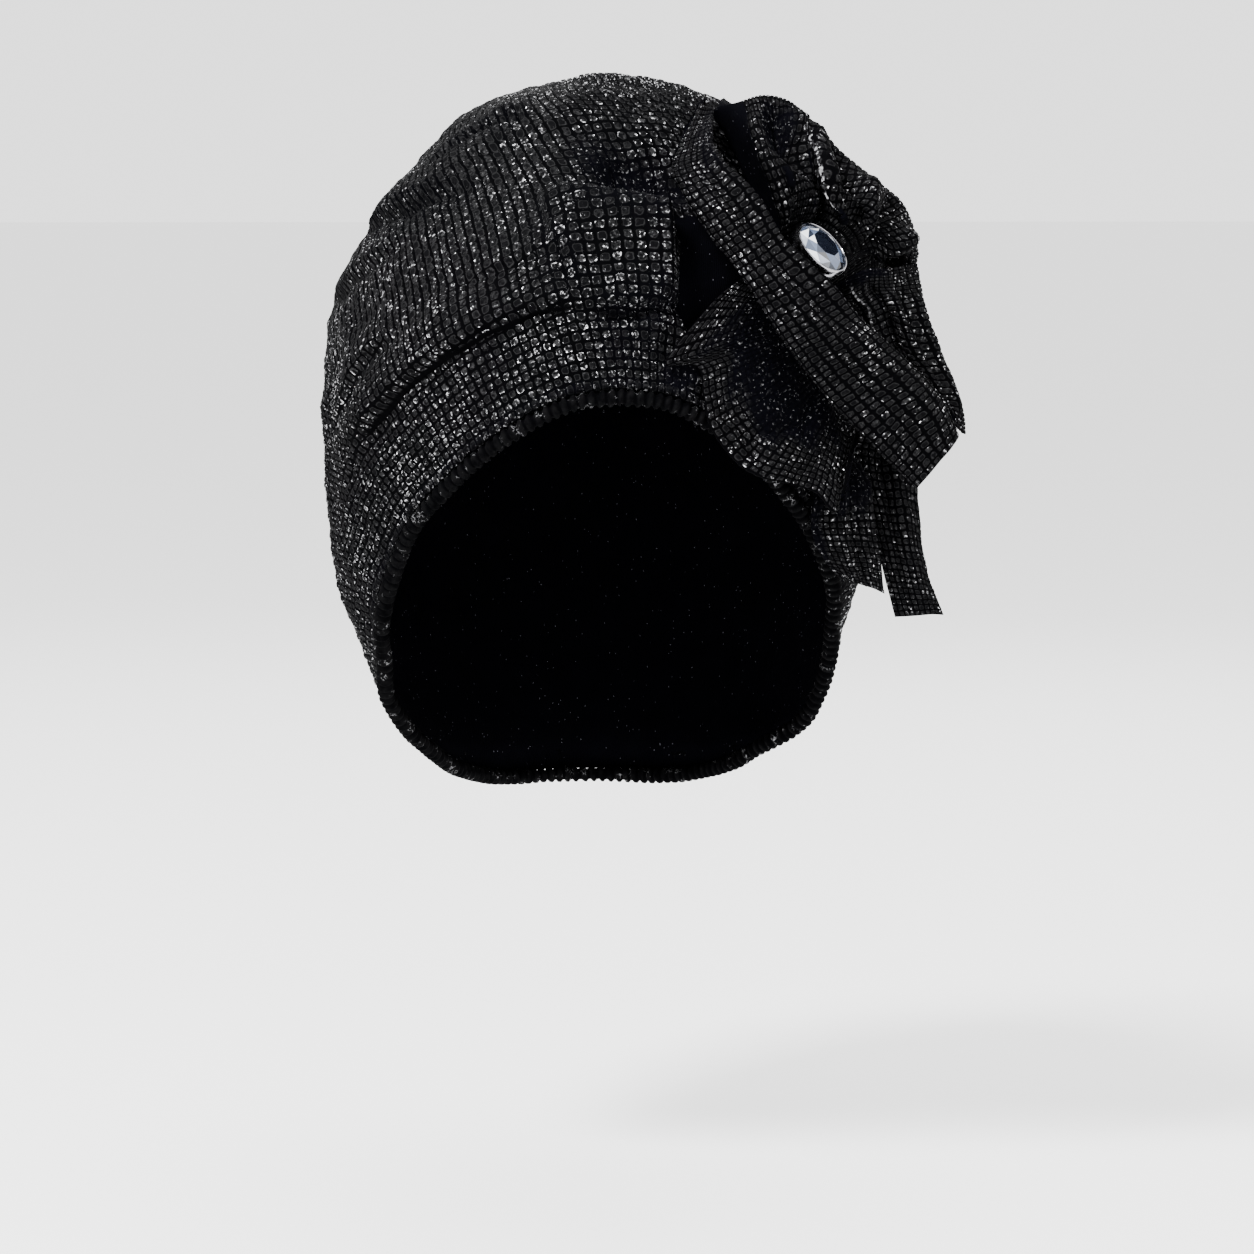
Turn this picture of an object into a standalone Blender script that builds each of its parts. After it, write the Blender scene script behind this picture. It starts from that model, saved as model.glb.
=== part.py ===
"""Turban headwrap: a fitted knit cap with a rolled hem and a folded cloth rosette at one temple.

Metres, +Z up. The face looks along -Y, and the rosette sits at the +X temple.
The origin is the point inside the crown that rests on the top of the head.
"""

import math
from collections import namedtuple

import bmesh
import bpy
import numpy as np
from mathutils import Vector
from mathutils.bvhtree import BVHTree

# Driving sizes of the cap
CAP_WIDTH = 0.176
CAP_FRONT = 0.100
CAP_BACK = 0.111
CAP_HEIGHT = 0.242
CAP_WALL = 0.002
CROWN_RISE = 0.004
HEM_RADIUS = 0.0028

# Driving sizes of the rosette. Its right and out directions are turned a little about +Z.
ROSETTE_SIZE = 0.100
ROSETTE_TURN = -5.5
PETAL_WALL = 0.0016
LIP_TURN = 0.12
TUCK_PULL = 0.35

# The jewel: its middle as shares of half the cap's width, its front reach and its height
JEWEL_SIDE = 0.761
JEWEL_FRONT = 0.800
JEWEL_DROP = 0.231
JEWEL_AXIS = (0.57, -0.53, 0.62)
SETTING_RADIUS = 0.0102
SETTING_DEPTH = 0.0042
SETTING_RIM = 0.0009
STONE_SINK = 0.0023
STONE_HEIGHT = 0.0042
STONE_FACETS = 16

# Gaps between pieces. Flat facets stand on a round cap, so a seated sheet keeps a wider one.
GAP = 0.0003
SEAT_GAP = 0.0009
CORE_GAP = 0.0009

# Mesh density
CAP_COLUMNS = 52
CAP_RINGS = 26
HEM_POINTS = 72
CORE_SIDES = 20

Section = namedtuple("Section", "drop side shift front back")
Rim = namedtuple("Rim", "turn drop")
Fold = namedtuple("Fold", "path rise above below fade_in fade_out")
Station = namedtuple("Station", "outer inner bulge curl tuck")

# The cap from the crown down. Drops are shares of CAP_HEIGHT, sides and shifts of half its width,
# front and back of CAP_FRONT and CAP_BACK.
CAP_SECTIONS = [
    Section(0.000, 0.00, 0.07, 0.00, 0.00),
    Section(0.004, 0.14, 0.07, 0.12, 0.15),
    Section(0.017, 0.28, 0.07, 0.25, 0.30),
    Section(0.041, 0.46, 0.05, 0.42, 0.47),
    Section(0.099, 0.63, 0.03, 0.64, 0.67),
    Section(0.148, 0.73, 0.02, 0.76, 0.78),
    Section(0.189, 0.81, 0.02, 0.84, 0.85),
    Section(0.251, 0.91, 0.02, 0.91, 0.92),
    Section(0.306, 0.96, 0.01, 0.95, 0.97),
    Section(0.375, 0.98, 0.01, 0.98, 0.99),
    Section(0.483, 1.00, 0.01, 1.00, 1.00),
    Section(0.583, 1.00, 0.01, 0.99, 0.97),
    Section(0.690, 0.98, 0.03, 0.95, 0.92),
    Section(0.748, 0.93, 0.03, 0.90, 0.87),
    Section(0.789, 0.89, 0.04, 0.86, 0.84),
    Section(0.843, 0.84, 0.04, 0.80, 0.78),
    Section(0.893, 0.76, 0.05, 0.72, 0.73),
    Section(0.934, 0.66, 0.04, 0.64, 0.68),
    Section(1.000, 0.56, 0.04, 0.50, 0.63),
]

# The wall's lower edge, from the middle of the brow (turn 0) round to the nape (turn 180), on both
# sides. The hem hangs below it.
RIM_LINE = [
    Rim(0, 0.410),
    Rim(10, 0.418),
    Rim(20, 0.446),
    Rim(31, 0.492),
    Rim(41, 0.546),
    Rim(49, 0.594),
    Rim(56, 0.653),
    Rim(64, 0.714),
    Rim(74, 0.784),
    Rim(84, 0.850),
    Rim(95, 0.900),
    Rim(110, 0.940),
    Rim(135, 0.972),
    Rim(180, 0.980),
]

# Folds of the cap's cloth. A path is a few points of turn and drop; the rise and the widths on its
# upper and lower sides are shares of CAP_WIDTH, and the fades are shares of the path's length.
CAP_FOLDS = {
    "brow_crease": Fold(
        [(-78, 0.560), (-68, 0.525), (-56, 0.455), (-42, 0.388), (-24, 0.331), (-4, 0.300)],
        0.022, 0.16, 0.018, 0.25, 0.10,
    ),
    "crown_crease": Fold(
        [(-92, 0.215), (-70, 0.175), (-55, 0.150), (-41, 0.085), (-17, 0.072), (14, 0.062)],
        0.018, 0.13, 0.020, 0.25, 0.25,
    ),
    "swag_top": Fold(
        [(-26, 0.176), (-10, 0.176), (2, 0.182), (15, 0.196)],
        0.060, 0.030, 0.190, 0.45, 0.10,
    ),
    "hollow": Fold(
        [(-8, 0.112), (4, 0.124), (16, 0.140), (26, 0.150)],
        -0.020, 0.045, 0.045, 0.35, 0.20,
    ),
    "temple_valley": Fold(
        [(-80, 0.335), (-56, 0.300), (-34, 0.262), (-20, 0.250)],
        -0.012, 0.055, 0.055, 0.30, 0.30,
    ),
    "side_fold": Fold(
        [(-118, 0.300), (-100, 0.360), (-88, 0.460), (-84, 0.580)],
        0.014, 0.060, 0.035, 0.30, 0.40,
    ),
    "back_fold": Fold(
        [(120, 0.320), (150, 0.420), (180, 0.455), (215, 0.420), (240, 0.330)],
        0.018, 0.120, 0.020, 0.30, 0.30,
    ),
    "right_fold": Fold(
        [(118, 0.520), (100, 0.500), (84, 0.430), (72, 0.350)],
        0.014, 0.080, 0.022, 0.30, 0.30,
    ),
}

# The rosette's folds. A station holds the outer and the inner edge as shares of ROSETTE_SIZE to the
# right, up and out of the jewel; the bulge between them; how far the outer lip curls back, and how
# far the inner edge tucks in towards the head.
PETAL_FRONT = [
    Station((-0.38, 0.46, -0.22), (-0.34, 0.44, -0.26), 0.02, 0.30, 0.10),
    Station((-0.45, 0.32, 0.00), (-0.35, 0.36, -0.02), 0.03, 0.30, 0.10),
    Station((-0.47, 0.23, 0.10), (-0.33, 0.28, 0.07), 0.04, 0.30, 0.08),
    Station((-0.38, 0.07, 0.20), (-0.22, 0.16, 0.13), 0.05, 0.20, 0.06),
    Station((-0.27, -0.07, 0.21), (-0.13, 0.02, 0.14), 0.05, 0.08, 0.03),
    Station((-0.15, -0.25, 0.19), (0.04, -0.14, 0.09), 0.06, 0.06, 0.04),
    Station((-0.06, -0.38, 0.15), (0.15, -0.25, 0.02), 0.06, 0.06, 0.05),
    Station((0.04, -0.50, 0.09), (0.27, -0.36, -0.04), 0.06, 0.05, 0.05),
    Station((0.18, -0.64, 0.01), (0.38, -0.47, -0.10), 0.05, 0.05, 0.05),
    Station((0.31, -0.77, -0.07), (0.45, -0.61, -0.16), 0.04, 0.04, 0.04),
]
PETAL_TOP = [
    Station((-0.33, 0.42, -0.60), (-0.24, 0.12, -0.50), 0.02, 0.04, 0.04),
    Station((-0.33, 0.44, -0.34), (-0.22, 0.11, -0.20), -0.02, 0.05, 0.04),
    Station((-0.26, 0.46, -0.24), (-0.14, 0.07, -0.06), 0.10, 0.08, 0.12),
    Station((-0.18, 0.48, -0.20), (-0.09, 0.09, -0.07), 0.09, 0.12, 0.20),
    Station((-0.09, 0.46, -0.20), (-0.05, 0.11, -0.09), 0.05, 0.14, 0.20),
    Station((-0.02, 0.40, -0.22), (-0.01, 0.12, -0.11), 0.04, 0.14, 0.20),
]
PETAL_UPPER_RIGHT = [
    Station((-0.07, 0.36, -0.34), (-0.02, 0.13, -0.20), 0.03, 0.08, 0.20),
    Station((0.01, 0.36, -0.22), (0.03, 0.12, -0.12), 0.08, 0.14, 0.20),
    Station((0.10, 0.28, -0.22), (0.08, 0.09, -0.12), 0.09, 0.14, 0.20),
    Station((0.20, 0.20, -0.25), (0.11, 0.06, -0.12), 0.08, 0.14, 0.20),
    Station((0.28, 0.12, -0.30), (0.13, 0.03, -0.13), 0.07, 0.14, 0.20),
    Station((0.32, 0.02, -0.33), (0.14, 0.00, -0.15), 0.05, 0.14, 0.20),
    Station((0.32, -0.05, -0.38), (0.15, -0.03, -0.22), 0.02, 0.12, 0.20),
    Station((0.28, -0.13, -0.52), (0.15, -0.09, -0.34), 0.00, 0.04, 0.20),
]
PETAL_LOWER_RIGHT = [
    Station((0.31, -0.07, -0.34), (0.12, -0.08, -0.10), 0.04, 0.04, 0.25),
    Station((0.33, -0.12, -0.33), (0.12, -0.14, -0.12), 0.06, 0.05, 0.25),
    Station((0.35, -0.22, -0.32), (0.16, -0.20, -0.15), 0.07, 0.10, 0.26),
    Station((0.41, -0.37, -0.35), (0.22, -0.33, -0.18), 0.06, 0.08, 0.12),
    Station((0.47, -0.52, -0.36), (0.32, -0.43, -0.23), 0.05, 0.06, 0.06),
    Station((0.48, -0.61, -0.36), (0.41, -0.53, -0.28), 0.03, 0.05, 0.05),
]
RUFFLE_LOWER = [
    Station((-0.25, -0.09, 0.03), (-0.14, -0.16, -0.05), 0.01, 0.01, 0.02),
    Station((-0.36, -0.18, 0.14), (-0.14, -0.20, -0.02), 0.00, 0.01, 0.02),
    Station((-0.45, -0.29, 0.20), (-0.13, -0.24, -0.02), -0.01, 0.01, 0.02),
    Station((-0.41, -0.37, 0.19), (-0.11, -0.28, -0.03), -0.01, 0.01, 0.02),
    Station((-0.38, -0.45, 0.21), (-0.08, -0.32, -0.06), -0.01, 0.01, 0.02),
    Station((-0.35, -0.57, 0.22), (-0.04, -0.38, -0.10), -0.01, 0.01, 0.02),
    Station((-0.25, -0.69, 0.20), (0.01, -0.43, -0.12), -0.01, 0.01, 0.02),
    Station((-0.12, -0.74, 0.14), (0.05, -0.48, -0.15), -0.01, 0.01, 0.02),
    Station((-0.02, -0.77, 0.06), (0.08, -0.52, -0.19), -0.01, 0.01, 0.02),
    Station((0.05, -0.84, 0.03), (0.11, -0.54, -0.20), -0.01, 0.01, 0.02),
    Station((0.08, -0.70, -0.04), (0.13, -0.55, -0.21), -0.01, 0.01, 0.02),
]
TAIL_SHORT = [
    Station((-0.02, -0.57, -0.60), (0.05, -0.54, -0.60), 0.00, 0.01, 0.01),
    Station((-0.02, -0.66, -0.26), (0.09, -0.64, -0.30), 0.02, 0.01, 0.01),
    Station((-0.02, -0.78, -0.09), (0.17, -0.74, -0.20), 0.03, 0.01, 0.01),
    Station((-0.03, -0.90, -0.07), (0.19, -0.90, -0.17), 0.03, 0.01, 0.01),
    Station((0.01, -1.00, -0.09), (0.21, -1.02, -0.16), 0.03, 0.03, 0.01),
    Station((0.06, -1.06, -0.10), (0.22, -1.11, -0.16), 0.02, 0.02, 0.01),
]
TAIL_LONG = [
    Station((0.14, -0.50, -0.70), (0.24, -0.50, -0.80), 0.00, 0.01, 0.01),
    Station((0.16, -0.55, -0.44), (0.33, -0.55, -0.48), 0.01, 0.01, 0.01),
    Station((0.12, -0.68, -0.31), (0.34, -0.70, -0.36), 0.02, 0.01, 0.02),
    Station((0.17, -0.88, -0.29), (0.35, -0.90, -0.32), 0.03, 0.01, 0.02),
    Station((0.21, -1.05, -0.28), (0.38, -1.07, -0.31), 0.03, 0.01, 0.02),
    Station((0.25, -1.20, -0.27), (0.42, -1.19, -0.31), 0.02, 0.01, 0.01),
]

Cloth = namedtuple("Cloth", "stations along across ripples ripple_height")
PETALS = {
    "petal_front": Cloth(PETAL_FRONT, 18, 8, 5, 0.008),
    "petal_top": Cloth(PETAL_TOP, 14, 8, 3, 0.006),
    "petal_upper_right": Cloth(PETAL_UPPER_RIGHT, 12, 8, 3, 0.006),
    "petal_lower_right": Cloth(PETAL_LOWER_RIGHT, 12, 8, 3, 0.006),
    "ruffle_lower": Cloth(RUFFLE_LOWER, 20, 7, 5, 0.016),
    "tail_short": Cloth(TAIL_SHORT, 10, 5, 2, 0.006),
    "tail_long": Cloth(TAIL_LONG, 11, 5, 2, 0.006),
}

# Colour, roughness and metallic value of each material
FINISHES = {
    "waffle_knit": ((0.012, 0.012, 0.013, 1.0), 0.55, 0.0),
    "rib_knit": ((0.010, 0.010, 0.011, 1.0), 0.70, 0.0),
    "silver_metal": ((0.78, 0.78, 0.79, 1.0), 0.18, 1.0),
    "clear_stone": ((0.80, 0.82, 0.86, 1.0), 0.03, 0.0),
}

# Places that the pieces are set out from
HEAD_MIDDLE = Vector((0.0, 0.0, -0.42 * CAP_HEIGHT))
FAR_OUT = 3.0 * CAP_HEIGHT
JEWEL_PLACE = Vector(
    (
        JEWEL_SIDE * CAP_WIDTH / 2,
        -JEWEL_FRONT * CAP_FRONT,
        CROWN_RISE - JEWEL_DROP * CAP_HEIGHT,
    )
)

# Shares: the least slope that a seat is measured on, the drop over which the crown's cloth goes
# from smooth to folded, the drop over which it tightens at the hem, and how its rings bunch up
LEAST_SLOPE = 0.55
CROWN_SMOOTH = 0.06
RIM_TIGHT = 0.05
RING_BUNCH = 0.55


def clear_scene():
    for obj in list(bpy.data.objects):
        bpy.data.objects.remove(obj, do_unlink=True)


def new_collection(name):
    made = bpy.data.collections.new(name)
    bpy.context.scene.collection.children.link(made)
    return made


def finish(name):
    colour, roughness, metallic = FINISHES[name]
    material = bpy.data.materials.new(name)
    material.use_nodes = True
    shader = material.node_tree.nodes["Principled BSDF"]
    shader.inputs["Base Color"].default_value = colour
    shader.inputs["Roughness"].default_value = roughness
    shader.inputs["Metallic"].default_value = metallic
    return material


def add_object(name, mesh, material, collection):
    obj = bpy.data.objects.new(name, mesh)
    mesh.materials.append(material)
    collection.objects.link(obj)
    return obj


def smooth_line(places, values, at):
    """A smooth curve through values set at uneven places."""
    places = np.asarray(places, float)
    values = np.asarray(values, float)
    slopes = np.gradient(values, places)
    at = np.clip(at, places[0], places[-1])
    k = np.clip(np.searchsorted(places, at, side="right") - 1, 0, len(places) - 2)
    step = places[k + 1] - places[k]
    t = (at - places[k]) / step
    rise = (2 * t**3 - 3 * t**2 + 1) * values[k] + (3 * t**2 - 2 * t**3) * values[k + 1]
    bend = (t**3 - 2 * t**2 + t) * slopes[k] + (t**3 - t**2) * slopes[k + 1]
    return rise + step * bend


def smooth_row(rows, at):
    """The row at a fractional place of evenly spaced rows, each a list of numbers."""
    rows = np.asarray(rows, float)
    k = int(min(max(math.floor(at), 0), len(rows) - 2))
    t = at - k
    a = rows[k - 1] if k > 0 else 2 * rows[k] - rows[k + 1]
    b, c = rows[k], rows[k + 1]
    d = rows[k + 2] if k + 2 < len(rows) else 2 * rows[k + 1] - rows[k]
    return 0.5 * (
        2 * b + (c - a) * t + (2 * a - 5 * b + 4 * c - d) * t**2 + (3 * b - a - 3 * c + d) * t**3
    )


def eased(share):
    """A share that starts and stops gently, kept between 0 and 1."""
    share = np.clip(share, 0, 1)
    return share * share * (3 - 2 * share)


def rim_drop(turn):
    """How far the lower edge lies below the crown, as a share of CAP_HEIGHT."""
    around = np.abs((np.asarray(turn, float) + 180) % 360 - 180)
    return smooth_line([r.turn for r in RIM_LINE], [r.drop for r in RIM_LINE], around)


def cap_base(turn, drop):
    """The cap's outer surface without its folds."""
    # The square root opens out the flat crown, where a small drop reaches far
    places = np.sqrt([s.drop for s in CAP_SECTIONS])
    at = np.sqrt(np.clip(drop, 0, 1))
    side, shift, front, back = (
        smooth_line(places, [getattr(s, column) for s in CAP_SECTIONS], at)
        for column in ("side", "shift", "front", "back")
    )
    angle = np.radians(turn)
    reach = np.where(np.cos(angle) > 0, front * CAP_FRONT, back * CAP_BACK)
    x = (shift + side * np.sin(angle)) * CAP_WIDTH / 2
    y = -reach * np.cos(angle)
    z = CROWN_RISE - drop * CAP_HEIGHT
    return np.stack([x, y, z + 0 * x], axis=-1)


def on_cloth(turn, drop):
    """A place on the cap laid flat: along the turn and down, in metres."""
    return np.stack([np.radians(turn) * CAP_WIDTH / 2, -np.asarray(drop) * CAP_HEIGHT], axis=-1)


def fold_relief(fold, turn, drop):
    """How far one fold lifts or sinks the cloth, positive outwards."""
    path = on_cloth(*np.array(fold.path, float).T)
    lengths = np.linalg.norm(np.diff(path, axis=0), axis=1)
    total = lengths.sum()
    relief = np.zeros(np.shape(turn))
    nearest = np.full(np.shape(turn), np.inf)
    for whole_turn in (-360, 0, 360):
        here = on_cloth(turn + whole_turn, drop)
        gone = 0.0
        for start, end, length in zip(path[:-1], path[1:], lengths):
            direction = (end - start) / length
            offset = here - start
            along = np.clip(offset @ direction, 0, length)
            away = here - (start + along[..., None] * direction)
            distance = np.linalg.norm(away, axis=-1)
            above = direction[0] * offset[..., 1] - direction[1] * offset[..., 0] > 0
            above = above if path[-1][0] > path[0][0] else ~above
            width = np.where(above, fold.above, fold.below) * CAP_WIDTH
            place = (gone + along) / total
            fade = eased(place / fold.fade_in) * eased((1 - place) / fold.fade_out)
            height = fold.rise * CAP_WIDTH * np.exp(-((distance / width) ** 2)) * fade
            closer = distance < nearest
            relief = np.where(closer, height, relief)
            nearest = np.where(closer, distance, nearest)
            gone += length
    return relief


def cap_surface(turn, drop):
    """The cap's outer surface with its folds."""
    step = 1e-3
    at = cap_base(turn, drop)
    across = cap_base(turn + 1, drop) - cap_base(turn - 1, drop)
    down = cap_base(turn, drop + step) - cap_base(turn, np.maximum(drop - step, 0))
    normal = np.cross(down, across)
    normal /= np.linalg.norm(normal, axis=-1, keepdims=True) + 1e-12
    relief = sum(fold_relief(fold, turn, drop) for fold in CAP_FOLDS.values())
    # The cloth stays smooth over the middle of the crown, and tight at the hem
    loose = eased(drop / CROWN_SMOOTH) * eased((rim_drop(turn) - drop) / RIM_TIGHT)
    return at + normal * (relief * loose)[..., None]


def loft(mesh_name, rings, closed, pole=None):
    """An open surface through rings of points, with a fan at the pole if there is one."""
    mesh = bpy.data.meshes.new(mesh_name)
    bm = bmesh.new()
    made = [[bm.verts.new(p) for p in ring] for ring in rings]
    count = len(rings[0])
    steps = count if closed else count - 1
    for upper, lower in zip(made[:-1], made[1:]):
        for k in range(steps):
            after = (k + 1) % count
            bm.faces.new((upper[k], lower[k], lower[after], upper[after]))
    if pole is not None:
        top = bm.verts.new(pole)
        for k in range(steps):
            bm.faces.new((top, made[0][k], made[0][(k + 1) % count]))
    bm.to_mesh(mesh)
    bm.free()
    mesh.shade_smooth()
    return mesh


def give_wall(obj, thickness, offset):
    wall = obj.modifiers.new("Wall", "SOLIDIFY")
    wall.thickness = thickness
    wall.offset = offset
    wall.use_quality_normals = True


def make_cap(material, collection):
    turns = np.arange(CAP_COLUMNS) * 360 / CAP_COLUMNS
    rings = []
    for ring in range(1, CAP_RINGS + 1):
        way = ring / CAP_RINGS
        drops = rim_drop(turns) * way**2 * (1 + RING_BUNCH - RING_BUNCH * way)
        rings.append(cap_surface(turns, drops))
    pole = cap_base(np.array([0.0]), np.array([0.0]))[0]
    cap = add_object("cap", loft("cap", rings, True, pole), material, collection)
    give_wall(cap, CAP_WALL, -1)
    return cap


def make_hem(material, collection):
    """The rolled hem: a tube along the cap's lower edge, one gap below its wall."""
    turns = np.arange(HEM_POINTS) * 360 / HEM_POINTS
    drops = rim_drop(turns)
    edge = cap_surface(turns, drops)
    down = edge - cap_surface(turns, drops - 0.01)
    down /= np.linalg.norm(down, axis=-1, keepdims=True)
    ahead = np.roll(edge, -1, axis=0) - np.roll(edge, 1, axis=0)
    down -= ahead * (np.sum(down * ahead, -1) / np.sum(ahead * ahead, -1))[:, None]
    down /= np.linalg.norm(down, axis=-1, keepdims=True)
    inward = np.cross(ahead, down)
    inward /= np.linalg.norm(inward, axis=-1, keepdims=True)
    middle = edge + down * (HEM_RADIUS + 1.5 * GAP) + inward * CAP_WALL / 2
    curve = bpy.data.curves.new("rim_roll", "CURVE")
    curve.dimensions = "3D"
    curve.bevel_depth = HEM_RADIUS
    curve.bevel_resolution = 1
    curve.resolution_u = 1
    spline = curve.splines.new("POLY")
    spline.points.add(HEM_POINTS - 1)
    for point, place in zip(spline.points, middle):
        point.co = (*place, 1.0)
    spline.use_cyclic_u = True
    return add_object("rim_roll", curve, material, collection)


def tree_of(obj):
    return BVHTree.FromObject(obj, bpy.context.evaluated_depsgraph_get())


def seated(point, clearance, trees):
    """The point, moved out so that it keeps its clearance to the cap and the hem."""
    away = point - HEAD_MIDDLE
    if away.length < 1e-6:
        return point
    outward = away.normalized()
    reach = away.length
    for tree in trees:
        place, normal, _, _ = tree.ray_cast(HEAD_MIDDLE + outward * FAR_OUT, -outward)
        if place is None or normal.dot(outward) < 0.02:
            continue
        slope = max(normal.dot(outward), LEAST_SLOPE)
        reach = max(reach, (place - HEAD_MIDDLE).dot(outward) + clearance / slope)
    return HEAD_MIDDLE + outward * reach


def beside_core(point, clearance):
    """The point, moved off the gathered middle under the jewel."""
    axis = Vector(JEWEL_AXIS).normalized()
    offset = point - JEWEL_PLACE
    height = offset.dot(axis)
    across = offset - axis * height
    least = SETTING_RADIUS + GAP + clearance
    if height > SETTING_DEPTH or across.length >= least:
        return point
    return point + across.normalized() * (least - across.length)


def rosette_point(share):
    """A place given as shares of ROSETTE_SIZE to the right, up and out of the jewel."""
    turn = math.radians(ROSETTE_TURN)
    right = Vector((math.cos(turn), math.sin(turn), 0))
    out = Vector((math.sin(turn), -math.cos(turn), 0))
    up = Vector((0, 0, 1))
    offset = right * share[0] + up * share[1] + out * share[2]
    return JEWEL_PLACE + offset * ROSETTE_SIZE


def rosette_axis():
    """The jewel's axis in the rosette's own directions: right, up and out."""
    turn = math.radians(ROSETTE_TURN)
    x, y, z = Vector(JEWEL_AXIS).normalized()
    right = x * math.cos(turn) + y * math.sin(turn)
    out = x * math.sin(turn) - y * math.cos(turn)
    return np.array([right, z, out])


def make_petal(name, cloth, trees, material, collection):
    """A fold of the rosette: a loft of curved sections through its stations."""
    rows = [[*s.outer, *s.inner, s.bulge, s.curl, s.tuck] for s in cloth.stations]
    clearance = PETAL_WALL / 2 + SEAT_GAP
    axis = rosette_axis()
    rings = []
    for k in range(cloth.along + 1):
        way = k / cloth.along
        row = smooth_row(rows, way * (len(rows) - 1))
        outer, inner = row[:3], row[3:6]
        bulge, curl, tuck = row[6:]
        middle = (outer + inner) / 2
        inward = inner - outer
        aside = inner - axis * np.dot(inner, axis)
        lip = outer + inward * LIP_TURN + np.array([0, 0, -curl])
        end = inner - axis * tuck - aside / np.linalg.norm(aside) * tuck * TUCK_PULL
        section = [lip, outer, middle + np.array([0, 0, bulge]), inner, end]
        wave = cloth.ripple_height * math.sin(2 * math.pi * cloth.ripples * way)
        ring = []
        for step in range(cloth.across + 1):
            share = step / cloth.across
            place = smooth_row(section, share * (len(section) - 1))
            place[2] += wave * (1 - share)
            point = rosette_point(place)
            point = beside_core(point, PETAL_WALL / 2 + CORE_GAP)
            ring.append(seated(point, clearance, trees))
        rings.append(ring)
    petal = add_object(name, loft(name, rings, False), material, collection)
    give_wall(petal, PETAL_WALL, 0)
    return petal


def make_core(tree, material, collection):
    """The gathered middle, from the cap's surface out to the back of the setting."""
    axis = Vector(JEWEL_AXIS).normalized()
    side = axis.orthogonal().normalized()
    other = axis.cross(side)
    top = JEWEL_PLACE - axis * (SETTING_DEPTH + GAP)
    waist = [(0.0, 0.92), (0.08, 0.99), (0.2, 0.97)]
    rings = []
    for depth, width in waist:
        height = top - axis * depth * SETTING_RADIUS * 2
        ring = []
        for k in range(CORE_SIDES):
            angle = 2 * math.pi * k / CORE_SIDES
            reach = SETTING_RADIUS * width
            point = height + (side * math.cos(angle) + other * math.sin(angle)) * reach
            ring.append(point)
        rings.append(ring)
    # The foot keeps the waist's outline: each point runs down the axis to the cap
    rings.append([on_cap(p, axis, tree) for p in rings[-1]])
    mesh = bpy.data.meshes.new("flower_core")
    bm = bmesh.new()
    made = [[bm.verts.new(p) for p in ring] for ring in rings]
    for upper, lower in zip(made[:-1], made[1:]):
        for k in range(CORE_SIDES):
            after = (k + 1) % CORE_SIDES
            bm.faces.new((upper[k], lower[k], lower[after], upper[after]))
    for ring, flip in ((made[0], False), (made[-1], True)):
        middle = sum((v.co for v in ring), Vector()) / CORE_SIDES
        if flip:
            middle = on_cap(middle + axis * SETTING_RADIUS, axis, tree)
        hub = bm.verts.new(middle)
        for k in range(CORE_SIDES):
            pair = (ring[k], ring[(k + 1) % CORE_SIDES])
            bm.faces.new((hub, *pair))
    bmesh.ops.recalc_face_normals(bm, faces=bm.faces)
    bm.to_mesh(mesh)
    bm.free()
    return add_object("flower_core", mesh, material, collection)


def on_cap(point, axis, tree):
    """Where the cap's surface lies below a point, along the jewel's axis, one seat gap out."""
    place, normal, _, _ = tree.ray_cast(point, -axis)
    if place is None:
        return point - axis * SETTING_RADIUS
    return place + axis * GAP * 2 / max(normal.dot(axis), LEAST_SLOPE)


def turned(name, profile, steps, material, collection):
    """A piece turned about the jewel's axis from a profile of radius and height."""
    mesh = bpy.data.meshes.new(name)
    points = [(radius, 0.0, height) for radius, height in profile]
    edges = [(k, k + 1) for k in range(len(points) - 1)]
    mesh.from_pydata(points, edges, [])
    piece = add_object(name, mesh, material, collection)
    piece.location = JEWEL_PLACE
    piece.rotation_mode = "QUATERNION"
    piece.rotation_quaternion = Vector(JEWEL_AXIS).to_track_quat("Z", "Y")
    screw = piece.modifiers.new("Turn", "SCREW")
    screw.steps = steps
    screw.render_steps = steps
    screw.use_merge_vertices = True
    screw.merge_threshold = 0.00001
    screw.use_smooth_shade = False
    return piece


def make_setting(material, collection):
    inside = SETTING_RADIUS - SETTING_RIM
    profile = [
        (0.0, -STONE_SINK),
        (inside, -STONE_SINK),
        (inside, 0.0),
        (SETTING_RADIUS - SETTING_RIM / 2, 0.1 * SETTING_DEPTH),
        (SETTING_RADIUS, -0.1 * SETTING_DEPTH),
        (SETTING_RADIUS, -SETTING_DEPTH),
        (0.0, -SETTING_DEPTH),
    ]
    return turned("stone_setting", profile, 2 * STONE_FACETS, material, collection)


def make_stone(material, collection):
    girdle = SETTING_RADIUS - SETTING_RIM - GAP
    seat = GAP - STONE_SINK
    profile = [
        (0.0, seat + STONE_HEIGHT),
        (0.56 * girdle, seat + STONE_HEIGHT),
        (0.84 * girdle, seat + 0.78 * STONE_HEIGHT),
        (girdle, seat + 0.45 * STONE_HEIGHT),
        (girdle, seat + 0.30 * STONE_HEIGHT),
        (0.90 * girdle, seat),
        (0.0, seat),
    ]
    return turned("stone", profile, STONE_FACETS, material, collection)


def main():
    clear_scene()
    parts = new_collection("turban_headwrap")
    knit = finish("waffle_knit")
    ribbed = finish("rib_knit")
    cap = make_cap(knit, parts)
    hem = make_hem(ribbed, parts)
    bpy.context.view_layer.update()
    trees = [tree_of(cap), tree_of(hem)]
    make_core(trees[0], knit, parts)
    for name, cloth in PETALS.items():
        make_petal(name, cloth, trees, knit, parts)
    make_setting(finish("silver_metal"), parts)
    make_stone(finish("clear_stone"), parts)


main()
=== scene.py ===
import math

import bmesh
import bpy
import numpy as np
from mathutils import Matrix, Vector, noise
from mathutils.bvhtree import BVHTree


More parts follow.
